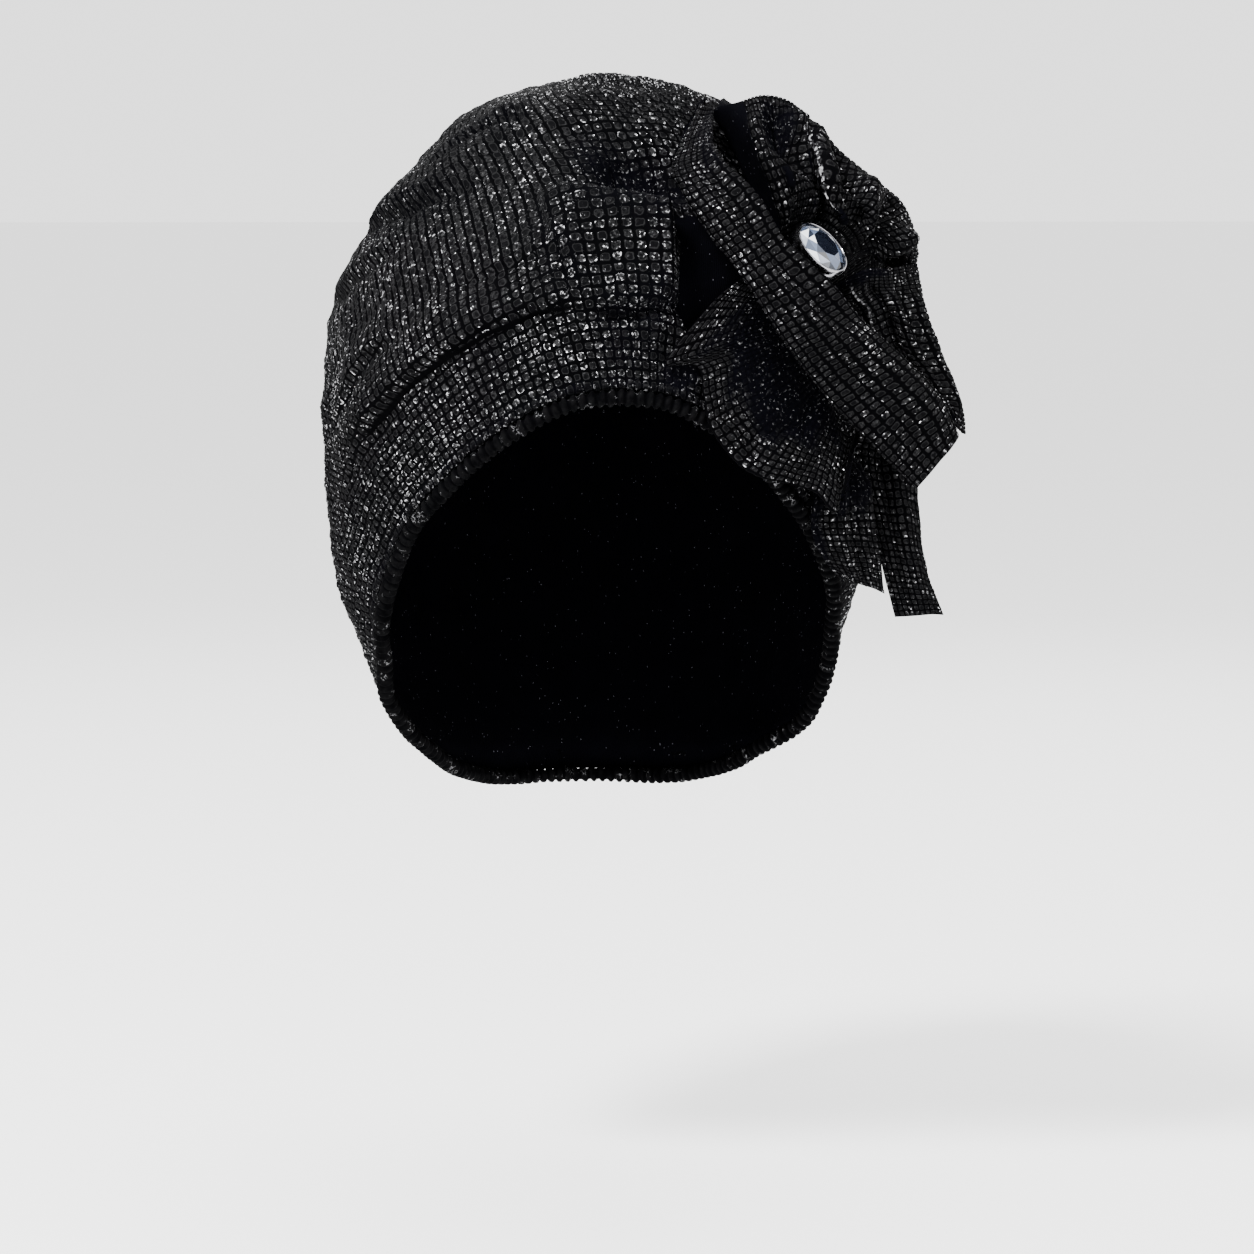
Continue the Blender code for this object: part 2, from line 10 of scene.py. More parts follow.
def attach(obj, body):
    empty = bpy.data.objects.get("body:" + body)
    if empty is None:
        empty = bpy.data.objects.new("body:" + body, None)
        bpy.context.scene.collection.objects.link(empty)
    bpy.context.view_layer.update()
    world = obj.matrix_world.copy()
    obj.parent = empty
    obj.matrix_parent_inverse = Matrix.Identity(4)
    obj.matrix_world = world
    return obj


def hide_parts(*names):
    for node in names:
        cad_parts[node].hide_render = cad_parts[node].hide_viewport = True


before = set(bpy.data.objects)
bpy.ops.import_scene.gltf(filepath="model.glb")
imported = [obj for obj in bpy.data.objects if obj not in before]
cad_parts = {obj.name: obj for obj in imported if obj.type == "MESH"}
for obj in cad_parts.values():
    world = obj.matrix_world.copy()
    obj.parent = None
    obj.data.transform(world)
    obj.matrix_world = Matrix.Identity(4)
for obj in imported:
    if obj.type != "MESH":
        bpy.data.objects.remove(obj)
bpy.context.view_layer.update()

# The turban's cloth is set out on the same surfaces as the frame: drops are shares of the cap's
# height, turns are degrees round it from the middle of the brow, lengths are metres


def smoothLine(places, values, at):  # a smooth curve through values at uneven places
    places, values = np.asarray(places, float), np.asarray(values, float)
    slopes = np.gradient(values, places)
    at = np.clip(at, places[0], places[-1])
    k = np.clip(np.searchsorted(places, at, side="right") - 1, 0, len(places) - 2)
    step = places[k + 1] - places[k]
    t = (at - places[k]) / step
    rise = (2 * t**3 - 3 * t**2 + 1) * values[k] + (3 * t**2 - 2 * t**3) * values[k + 1]
    bend = (t**3 - 2 * t**2 + t) * slopes[k] + (t**3 - t**2) * slopes[k + 1]
    return rise + step * bend


def smoothRows(rows, at):  # each point's own rows (points, rows, numbers), read between the rows
    first = 2 * rows[:, :1] - rows[:, 1:2]
    last = 2 * rows[:, -1:] - rows[:, -2:-1]
    padded = np.concatenate([first, rows, last], axis=1)
    k = np.clip(np.floor(at).astype(int), 0, rows.shape[1] - 2)
    t = (at - k)[:, None]
    point = np.arange(len(at))
    a, b, c, d = (padded[point, k + i] for i in range(4))
    bend = (2 * a - 5 * b + 4 * c - d) * t**2 + (3 * b - a - 3 * c + d) * t**3
    return 0.5 * (2 * b + (c - a) * t + bend)


def eased(share):
    share = np.clip(share, 0, 1)
    return share * share * (3 - 2 * share)


def between(value, start, full, fading, end):  # eases in from start to full, and out to the end
    return eased((value - start) / (full - start)) * eased((end - value) / (end - fading))


def unit(vectors):
    return vectors / (np.linalg.norm(vectors, axis=-1, keepdims=True) + 1e-12)


def chance(i, j, seed):  # an even random share for each cell
    return np.sin(i * 12.9898 + j * 78.233 + seed * 37.719) * 43758.5453 % 1


def softNoise(points, size, seed):  # rolling noise, one number a point
    shift = Vector((seed * 7.3, seed * 3.1, seed * 5.7))
    return np.array([noise.noise(Vector(p) / size + shift) for p in points])


# The cap's surface

capLook = {
    "width": 0.176,
    "front": 0.100,
    "back": 0.111,
    "height": 0.242,
    "crownRise": 0.004,
    "middle": 0.42,  # drop of the point that the cloth is drawn out from
    "lean": 40,  # degrees that the gathered end of the tube of cloth leans back
    "fadeTop": 0.06,  # drop over which the folds fade in below the crown
    "fadeRim": 0.05,  # and out above the lower edge
    "columns": 190,  # cells round the cap
    "rows": 72,  # cells from the gathered end to the hem
    "liningSteps": 2,  # rows of cells for each row of the reverse
    "wall": 0.0016,
    "puff": 0.0010,
    "puffSink": 0.6,  # share of a puff that lies inside the frame's surface
    "wrinkle": 0.0012,
    "wrinkleSizes": (0.016, 0.007),
    "fineWrinkle": 0.6,  # share of the wrinkle in the small size
    "gathers": 24,
    "gatherHeight": 0.0010,
    "gatherRows": (0, 0.03, 0.08, 0.30),
    "ribbedRows": (0.20, 0.12),  # where the puffs run together at the gathered end, and how softly
    # strength of the painted shade above the hem
    "edgeShade": 0.55,
    "edgeShadeRows": (0.982, 0.012),  # where the painted shade above the hem begins, and how softly
    "edgeSink": 0.0006,
    "edgeTuck": 0.0011,
}
capSections = [  # drop, side, shift, front, back
    (0, 0, 0.07, 0, 0),
    (0.004, 0.14, 0.07, 0.12, 0.15),
    (0.017, 0.28, 0.07, 0.25, 0.3),
    (0.041, 0.46, 0.05, 0.42, 0.47),
    (0.099, 0.63, 0.03, 0.64, 0.67),
    (0.148, 0.73, 0.02, 0.76, 0.78),
    (0.189, 0.81, 0.02, 0.84, 0.85),
    (0.251, 0.91, 0.02, 0.91, 0.92),
    (0.306, 0.96, 0.01, 0.95, 0.97),
    (0.375, 0.98, 0.01, 0.98, 0.99),
    (0.483, 1, 0.01, 1, 1),
    (0.583, 1, 0.01, 0.99, 0.97),
    (0.69, 0.98, 0.03, 0.95, 0.92),
    (0.748, 0.93, 0.03, 0.9, 0.87),
    (0.789, 0.89, 0.04, 0.86, 0.84),
    (0.843, 0.84, 0.04, 0.8, 0.78),
    (0.893, 0.76, 0.05, 0.72, 0.73),
    (0.934, 0.66, 0.04, 0.64, 0.68),
    (1, 0.56, 0.04, 0.5, 0.63),
]
rimLine = [  # turn, drop of the cap's lower edge
    (0, 0.41),
    (10, 0.418),
    (20, 0.446),
    (31, 0.492),
    (41, 0.546),
    (49, 0.594),
    (56, 0.653),
    (64, 0.714),
    (74, 0.784),
    (84, 0.85),
    (95, 0.9),
    (110, 0.94),
    (135, 0.972),
    (180, 0.98),
]
# Each fold: its path of turn and drop, rise, width above and below it, fade in and out
capFolds = {
    "browCrease": (
        [(-78, 0.56), (-68, 0.525), (-56, 0.455), (-42, 0.388), (-24, 0.331), (-4, 0.3)],
        0.022, 0.16, 0.01, 0.25, 0.1,
    ),
    "crownCrease": (
        [(-92, 0.215), (-70, 0.175), (-55, 0.15), (-41, 0.085), (-17, 0.072), (14, 0.062)],
        0.018, 0.13, 0.014, 0.25, 0.25,
    ),
    "swagTop": (
        [(-26, 0.176), (-10, 0.176), (2, 0.182), (15, 0.196)],
        0.06, 0.03, 0.19, 0.45, 0.1,
    ),
    "hollow": (
        [(-8, 0.112), (4, 0.124), (16, 0.14), (26, 0.15)],
        -0.046, 0.046, 0.04, 0.35, 0.15,
    ),
    "templeValley": (
        [(-80, 0.335), (-56, 0.3), (-34, 0.262), (-20, 0.25)],
        -0.012, 0.055, 0.055, 0.3, 0.3,
    ),
    "sideFold": (
        [(-118, 0.3), (-100, 0.36), (-88, 0.46), (-84, 0.58)],
        0.014, 0.06, 0.035, 0.3, 0.4,
    ),
    "backFold": (
        [(120, 0.32), (150, 0.42), (180, 0.455), (215, 0.42), (240, 0.33)],
        0.018, 0.12, 0.02, 0.3, 0.3,
    ),
    "rightFold": (
        [(118, 0.52), (100, 0.5), (84, 0.43), (72, 0.35)],
        0.014, 0.08, 0.022, 0.3, 0.3,
    ),
}
headMiddle = np.array([0, 0, -capLook["middle"] * capLook["height"]])


def rimDrop(turn):
    around = np.abs((np.asarray(turn, float) + 180) % 360 - 180)
    return smoothLine([r[0] for r in rimLine], [r[1] for r in rimLine], around)


def capSection(drop):
    places = np.sqrt([s[0] for s in capSections])
    at = np.sqrt(np.clip(drop, 0, 1))
    return [smoothLine(places, [s[k] for s in capSections], at) for k in (1, 2, 3, 4)]


def capBase(turn, drop):
    side, shift, front, back = capSection(drop)
    angle = np.radians(turn)
    reach = np.where(np.cos(angle) > 0, front * capLook["front"], back * capLook["back"])
    x = (shift + side * np.sin(angle)) * capLook["width"] / 2
    z = capLook["crownRise"] - drop * capLook["height"]
    return np.stack([x, -reach * np.cos(angle), z + 0 * x], axis=-1)


def onCloth(turn, drop):  # a place on the cap laid flat
    return np.stack(
        [np.radians(turn) * capLook["width"] / 2, -np.asarray(drop) * capLook["height"]], axis=-1
    )


def nearLine(path, here):  # distance to a line, on which side, how far along it, nearest place
    lengths = np.linalg.norm(np.diff(path, axis=0), axis=1)
    nearest = np.full(len(here), np.inf)
    above, place, foot = np.zeros(len(here), bool), np.zeros(len(here)), here.copy()
    gone = 0.0
    for start, end, length in zip(path[:-1], path[1:], lengths):
        direction = (end - start) / length
        offset = here - start
        along = np.clip(offset @ direction, 0, length)
        on = start + along[:, None] * direction
        distance = np.linalg.norm(here - on, axis=-1)
        closer = distance < nearest
        nearest = np.where(closer, distance, nearest)
        side = direction[0] * offset[:, 1] - direction[1] * offset[:, 0]
        above = np.where(closer, side > 0, above)
        place = np.where(closer, (gone + along) / lengths.sum(), place)
        foot = np.where(closer[:, None], on, foot)
        gone += length
    return nearest, above, place, foot


def ends(place, fadeIn, fadeOut):  # fades the two ends of a line
    return eased(place / fadeIn) * eased((1 - place) / fadeOut)


def foldRelief(fold, turn, drop):
    path, rise, wideAbove, wideBelow, fadeIn, fadeOut = fold
    flat = onCloth(*np.array(path, float).T)
    shape = np.shape(turn + drop)
    turn, drop = np.ravel(turn + 0 * drop), np.ravel(drop + 0 * turn)
    relief, nearest = np.zeros(len(turn)), np.full(len(turn), np.inf)
    for wholeTurn in (-360, 0, 360):
        distance, above, place, _ = nearLine(flat, onCloth(turn + wholeTurn, drop))
        above = above if path[-1][0] > path[0][0] else ~above
        width = np.where(above, wideAbove, wideBelow) * capLook["width"]
        height = rise * capLook["width"] * np.exp(-((distance / width) ** 2))
        relief = np.where(distance < nearest, height * ends(place, fadeIn, fadeOut), relief)
        nearest = np.minimum(distance, nearest)
    return relief.reshape(shape)


# Each crease: its path, the cloth's rise above it, how far that reaches up, depth and width of its
# groove, fade in and out, and the strength of the painted shade drawn along it
capCreases = {
    "brow": (
        [(-66, 0.505), (-56, 0.459), (-49.5, 0.424), (-42, 0.390), (-28.5, 0.343), (-18, 0.318),
         (-4, 0.304)],
        0.0022, 0.010, 0.0034, 0.0017, 0.15, 0.12, 1.0,
    ),
    "crown": (
        [(-66, 0.140), (-59.5, 0.110), (-53, 0.086), (-44, 0.068), (-30, 0.064)],
        0.0016, 0.008, 0.0024, 0.0014, 0.25, 0.25, 0.45,
    ),
    "notch": (
        [(-92, 0.225), (-79, 0.198), (-67.5, 0.186), (-53, 0.163), (-33.5, 0.140)],
        0.0026, 0.010, 0.0016, 0.0022, 0.20, 0.45, 0.45,
    ),
    "lobeTop": (
        [(-22, 0.140), (-10, 0.156), (0, 0.166), (9, 0.172), (16, 0.182)],
        -0.0050, 0.014, 0.0026, 0.0020, 0.45, 0.05, 0.9,
    ),
    "lobeUnder": (
        [(-9, 0.314), (-2, 0.316), (6, 0.311), (15, 0.300)],
        0.0042, 0.014, 0.0034, 0.0024, 0.35, 0.10, 0.8,
    ),
    "middle": (
        [(-42, 0.290), (-30, 0.268), (-20, 0.250), (-8, 0.232)],
        0.0012, 0.006, 0.0012, 0.0020, 0.35, 0.35, 0.0,
    ),
    "lobeLeft": (
        [(-24.5, 0.149), (-19, 0.197), (-14.5, 0.240), (-10, 0.280), (-6, 0.308)],
        0.0030, 0.012, 0.0016, 0.0030, 0.30, 0.20, 0.35,
    ),
    "leftValley": (
        [(-78, 0.500), (-70, 0.436), (-62, 0.385), (-46, 0.331)],
        0.0020, 0.009, 0.0018, 0.0040, 0.35, 0.35, 0.0,
    ),
    "leftRidge": (
        [(-100, 0.330), (-84, 0.291), (-68, 0.252), (-52, 0.200)],
        0.0022, 0.009, 0.0016, 0.0036, 0.30, 0.40, 0.0,
    ),
}
creaseLook = {
    "shade": 0.007,  # how far the painted shade round a part-dark crease reaches
    "shadeShare": 0.8,
    "snap": 0.0005,  # points this near are drawn onto the line
    "snapFade": 0.3,
    "reverseWiden": 0.005,  # how much wider a groove is on the reverse
}


def creaseCloth(turn, drop, widen=0.0):  # draws points onto each crease, gives its relief, and marks the painted shade along it
    flat = onCloth(turn, drop)
    relief, loose = np.zeros(len(turn)), np.ones(len(turn))
    marks = clothMarks(len(turn))
    for path, rise, reach, depth, width, fadeIn, fadeOut, dark in capCreases.values():
        line = onCloth(*np.array(path, float).T)
        distance, above, place, foot = nearLine(line, flat)
        fade = ends(place, fadeIn, fadeOut)
        # Painted shade: a dark line along the crease's groove, and for part-dark creases a soft
        # painted shade round it
        if dark:
            markLine(marks, distance, above, fade * dark)
        if 0 < dark < 1:
            soft = np.exp(-((distance / creaseLook["shade"]) ** 2)) * fade * dark
            marks[:, 2] = np.maximum(marks[:, 2], soft * creaseLook["shadeShare"])
        width = width + widen
        snapped = (distance < creaseLook["snap"]) & (fade > creaseLook["snapFade"]) & (widen == 0)
        flat = np.where(snapped[:, None], foot, flat)
        distance = np.where(snapped, 0, distance)
        marks[snapped, 0] = 0
        relief -= depth * np.exp(-((distance / width) ** 2)) * fade
        edge = eased(distance / width)
        relief += np.where(above, rise * np.exp(-((distance / reach) ** 2)) * edge, 0) * fade
        loose *= 1 - fade * (1 - edge)
    turn = np.degrees(flat[:, 0] / (capLook["width"] / 2))
    return turn, -flat[:, 1] / capLook["height"], relief, loose, marks


def capNormal(turn, drop):
    step = 1e-3
    across = capBase(turn + 1, drop) - capBase(turn - 1, drop)
    down = capBase(turn, drop + step) - capBase(turn, np.maximum(drop - step, 0))
    return unit(np.cross(down, across))


def capSurface(turn, drop):
    relief = sum(foldRelief(fold, turn, drop) for fold in capFolds.values())
    loose = eased(drop / capLook["fadeTop"]) * eased((rimDrop(turn) - drop) / capLook["fadeRim"])
    return capBase(turn, drop) + capNormal(turn, drop) * (relief * loose)[..., None]


lean = math.radians(capLook["lean"])
poleAxis = np.array([0, math.sin(lean), math.cos(lean)])
browAxis = np.array([0, -math.cos(lean), math.sin(lean)])
sideAxis = np.array([1.0, 0, 0])


def rimLean(angle):  # the angle from the gathered end to the hem, all round
    turns = np.arange(-180, 180, 2.0)
    offset = capSurface(turns, rimDrop(turns)) - headMiddle
    around = np.arctan2(offset @ sideAxis, offset @ browAxis)
    leans = np.arccos(unit(offset) @ poleAxis)
    order = np.argsort(around)
    return np.interp(angle, around[order], leans[order], period=2 * math.pi)


# How the rosette draws the cloth: where each pull starts, is full, fades and ends, in turns or in
# shares of the cloth's length
clothPull = {
    "slant": 0.052,  # share of a turn that the columns lean towards the rosette
    "slantTurns": (-80, 45, 60, 150),
    "slantRows": (0.42, 0.36),  # where the lean begins, and over how much it grows
    "slantTop": 0.3,
    "side": 0.018,  # share of a turn that they lean on the other side
    "sideTurns": (-130, -70, -20, 20),
    "sideRows": (0.72, 0.42),
    "lift": 0.028,  # share of the cloth's length that the rows rise towards the rosette
    "liftTurns": (-24, 16, 50, 110),
    "liftRows": (0.35, 0.60, 0.65, 0.93),
}


def growing(value, start, over):
    return eased((value - start) / over)


def drawn(around, down):  # the cloth's columns and rows, drawn towards the rosette
    turn = 360 * (around - 0.5)
    slant = growing(down, *clothPull["slantRows"]) - 0.5
    slant = slant * between(turn, *clothPull["slantTurns"]) * eased(down / clothPull["slantTop"])
    side = between(turn, *clothPull["sideTurns"]) * growing(down, *clothPull["sideRows"])
    lift = between(turn, *clothPull["liftTurns"]) * between(down, *clothPull["liftRows"])
    around = around + clothPull["slant"] * slant + clothPull["side"] * side
    return around, down - clothPull["lift"] * lift


def capPlaces(around, down):  # turn and drop of a place on the tube of cloth
    around, down = drawn(around, down)
    angle = 2 * math.pi * (around - 0.5)
    leans = down * rimLean(angle)
    flat = np.cos(angle)[:, None] * browAxis + np.sin(angle)[:, None] * sideAxis
    direction = np.cos(leans)[:, None] * poleAxis + np.sin(leans)[:, None] * flat
    near, far = np.zeros(len(angle)), np.full(len(angle), 2 * capLook["height"])
    for _ in range(40):
        reach = (near + far) / 2
        turn, drop, inside = capCoordinates(headMiddle + direction * reach[:, None])
        near, far = np.where(inside, reach, near), np.where(inside, far, reach)
    return turn, drop


def capCoordinates(points):
    drop = (capLook["crownRise"] - points[:, 2]) / capLook["height"]
    side, shift, front, back = capSection(drop)
    reach = np.where(points[:, 1] < 0, front * capLook["front"], back * capLook["back"])
    x = (points[:, 0] / (capLook["width"] / 2) - shift) / np.maximum(side, 1e-6)
    y = -points[:, 1] / np.maximum(reach, 1e-6)
    inside = (x * x + y * y < 1) & (drop > 0)
    return np.degrees(np.arctan2(x, y)), np.clip(drop, 0, 1), inside


# Cloth grids


def meshFrom(bm, name):
    mesh = bpy.data.meshes.new(name)
    bm.to_mesh(mesh)
    bm.free()
    return mesh


def readAll(items, what, width=3, kind=np.float32):
    numbers = np.empty(len(items) * width, kind)
    items.foreach_get(what, numbers)
    return numbers.reshape(-1, width) if width > 1 else numbers


def clothGrid(name, cells, steps, channel=0.2):  # a flat sheet of cells, and where its points lie
    steps = np.array(steps)
    bm = bmesh.new()
    across, down = (int(count) for count in np.array(cells) * steps)
    bmesh.ops.create_grid(bm, x_segments=across, y_segments=down, size=0.5)
    mesh = meshFrom(bm, name)
    flat = readAll(mesh.vertices, "co").astype(float)[:, :2] + 0.5
    cell = np.round(flat * np.array(cells) * steps) / steps
    for axis, count in enumerate(steps):
        if count > 2:
            part = cell[:, axis] % 1
            edges = [0, 1 / count, 1 - 1 / count, 1]
            cell[:, axis] += np.interp(part, edges, [0, channel, 1 - channel, 1]) - part
    corners = readAll(mesh.loops, "vertex_index", 1, np.int32)
    layer = mesh.uv_layers.new(name="UVMap")
    layer.uv.foreach_set("vector", cell[corners].astype(np.float32).ravel())
    return mesh, cell


def setPoints(mesh, points):
    mesh.vertices.foreach_set("co", points.astype(np.float32).ravel())
    mesh.update()


def meshNormals(mesh):
    return readAll(mesh.vertex_normals, "vector").astype(float)


def puffShape(cell, ribbed=0):  # 0 in the channels, 1 on top of a puff
    a, b = np.abs(2 * (cell % 1) - 1).T
    return (1 - a**3) * (1 - (b * (1 - ribbed)) ** 3)


def puffHeights(cell, seed):  # each puff a little higher or lower than the next
    return 0.75 + 0.5 * chance(np.floor(cell[:, 0]), np.floor(cell[:, 1]), seed)


def clothMarks(count):  # millimetres from the nearest line, strength of its painted shade (below 0 a painted highlight), share of broad painted shade
    marks = np.zeros((count, 3))
    marks[:, 0] = 4
    return marks


# marks a line of painted shade, or of painted highlight where the strength is below 0
def markLine(marks, distance, above, strength):
    near = (distance < 0.004) & (distance * 1000 < np.abs(marks[:, 0]) + 0.01)
    marks[near, 0] = np.where(above, distance, -distance)[near] * 1000
    marks[near, 1] = strength[near]


# the painted shade and painted highlight marks are kept as the cloth attribute
def keepMarks(mesh, marks):
    layer = mesh.attributes.new("cloth", "FLOAT_VECTOR", "POINT")
    layer.data.foreach_set("vector", marks.astype(np.float32).ravel())


def newObject(name, data):
    item = bpy.data.objects.new(name, data)
    bpy.context.scene.collection.objects.link(item)
    return item


def addPiece(node, mesh, materials):
    piece = newObject("turban_" + node, mesh)
    for material in materials:
        mesh.materials.append(material)
    mesh.shade_smooth()
    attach(piece, "root")
    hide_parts(node)
    return piece


def weld(mesh, distance):
    bm = bmesh.new()
    bm.from_mesh(mesh)
    bmesh.ops.remove_doubles(bm, verts=bm.verts, dist=distance)
    bmesh.ops.dissolve_degenerate(bm, edges=bm.edges, dist=1e-7)
    bm.to_mesh(mesh)
    bm.free()


# Materials


class Finish:  # one material, and short names for the nodes that it is made of
    def __init__(self, name):
        self.material = bpy.data.materials.new(name)
        self.material.use_nodes = True
        self.tree = self.material.node_tree
        self.shader = self.tree.nodes["Principled BSDF"]

    def give(self, socket, value):
        if isinstance(value, bpy.types.NodeSocket):
            self.tree.links.new(value, socket)
        else:
            socket.default_value = value

    def finish(self, values):
        for name, value in values.items():
            self.give(self.shader.inputs[name], value)
        return self.material

    def add(self, kind, settings=None, **inputs):  # i0, i1 and so on are inputs by number
        node = self.tree.nodes.new(kind)
        for key, value in (settings or {}).items():
            setattr(node, key, value)
        for key, value in inputs.items():
            numbered = key[0] == "i" and key[1:].isdigit()
            self.give(node.inputs[int(key[1:]) if numbered else key], value)
        return node

    def calc(self, operation, a, b=0.5, c=0.5):
        return self.add("ShaderNodeMath", {"operation": operation}, i0=a, i1=b, i2=c).outputs[0]

    def times(self, a, b):
        return self.calc("MULTIPLY", a, b)

    def scaled(self, value, factor, add):
        return self.calc("MULTIPLY_ADD", value, factor, add)

    def highest(self, a, b):
        return self.calc("MAXIMUM", a, b)

    def remap(self, value, low, high, toLow=0.0, toHigh=1.0):
        settings = {"interpolation_type": "SMOOTHSTEP"}
        ends = dict(i1=low, i2=high, i3=toLow, i4=toHigh)
        return self.add("ShaderNodeMapRange", settings, i0=value, **ends).outputs[0]

    def band(self, value, middle, far, near):  # 1 within near of the middle, 0 past far
        return self.remap(self.calc("ABSOLUTE", self.calc("SUBTRACT", value, middle)), far, near)

    def mixColours(self, share, first, second):
        node = self.add("ShaderNodeMix", {"data_type": "RGBA"}, i0=share, i6=first, i7=second)
        return node.outputs[2]

    def mixNumbers(self, share, first, second):
        return self.add("ShaderNodeMix", i0=share, i2=first, i3=second).outputs[0]

    def uv(self):
        return self.add("ShaderNodeUVMap", {"uv_map": "UVMap"}).outputs[0]

    def place(self):
        return self.add("ShaderNodeTexCoord").outputs["Object"]

    def attribute(self, name, kind="Fac"):
        return self.add("ShaderNodeAttribute", {"attribute_name": name}).outputs[kind]

    def split(self, vector):
        return self.add("ShaderNodeSeparateXYZ", i0=vector).outputs

    def vector(self, operation, first, **more):
        node = self.add("ShaderNodeVectorMath", {"operation": operation}, i0=first, **more)
        return node.outputs[0]

    def clouds(self, place, scale, detail, output=0):
        node = self.add("ShaderNodeTexNoise", Vector=place, Scale=scale, Detail=detail)
        return node.outputs[output]

    def bump(self, strength, distance, height):
        node = self.add("ShaderNodeBump", Strength=strength, Distance=distance, Height=height)
        return node.outputs[0]


waffleLook = {
    "channel": (0.0004, 0.0004, 0.0006, 1),
    "puff": (0.0016, 0.0016, 0.0019, 1),
    "puffPale": (0.022, 0.022, 0.0226, 1),
    "foilDim": (0.030, 0.030, 0.032, 1),
    "foilBright": (0.62, 0.62, 0.64, 1),
    # colour of the painted shade in hollows, creases and under folds
    "paintedShade": (0.0006, 0.0006, 0.0013, 1),
    "creaseEdge": (0.85, 0.40),  # millimetres from the line over which a crease's painted shade fades
    # millimetres from a ridge line over which its painted highlight fades
    "ridgeHighlightEdge": (0.36, 0.16),
    "wobble": 0.36,  # share of a cell that the pattern strays over
    "wobbleScale": 420.0,
    "ribJoin": 0.30,  # how far the channels close where the puffs run together
    "puffEdge": (0.82, 0.58),  # 0 in the middle of a cell, 1 on its edge
    "puffUneven": 0.16,
    "patchScale": 34.0,
    "grain": 0.0011,  # metres across the breaks in the foil
    "curl": 0.0014,
    "ring": (0.64, 0.11, 0.05),  # the foil round a puff: where it runs, how far it fades
    "curlWidth": (0.5, 0.040, 0.015),
    "fleck": 0.28,  # strength of the foil flecks within the painted shade
    "fleckGrain": (0.58, 0.66),
    "ridgeHighlightGrain": (0.40, 0.52),
    "lot": (0.16, 0.30, -0.07),  # what a cell, a patch and a rib add to the chance of foil
    "lotEdge": (0.96, 1.03),
    "shineScale": 800.0,
    "shineEdge": (0.40, 0.72),
    "strands": 44.0,
    "strandDepth": 0.25,
    "toneGrain": (0.38, 0.62),
    "ringTone": 0.34,
}
foilShine = {"metallic": 0.9, "roughness": (0.75, 0.34)}  # roughness of cloth and of foil
clothGloss = 0.01


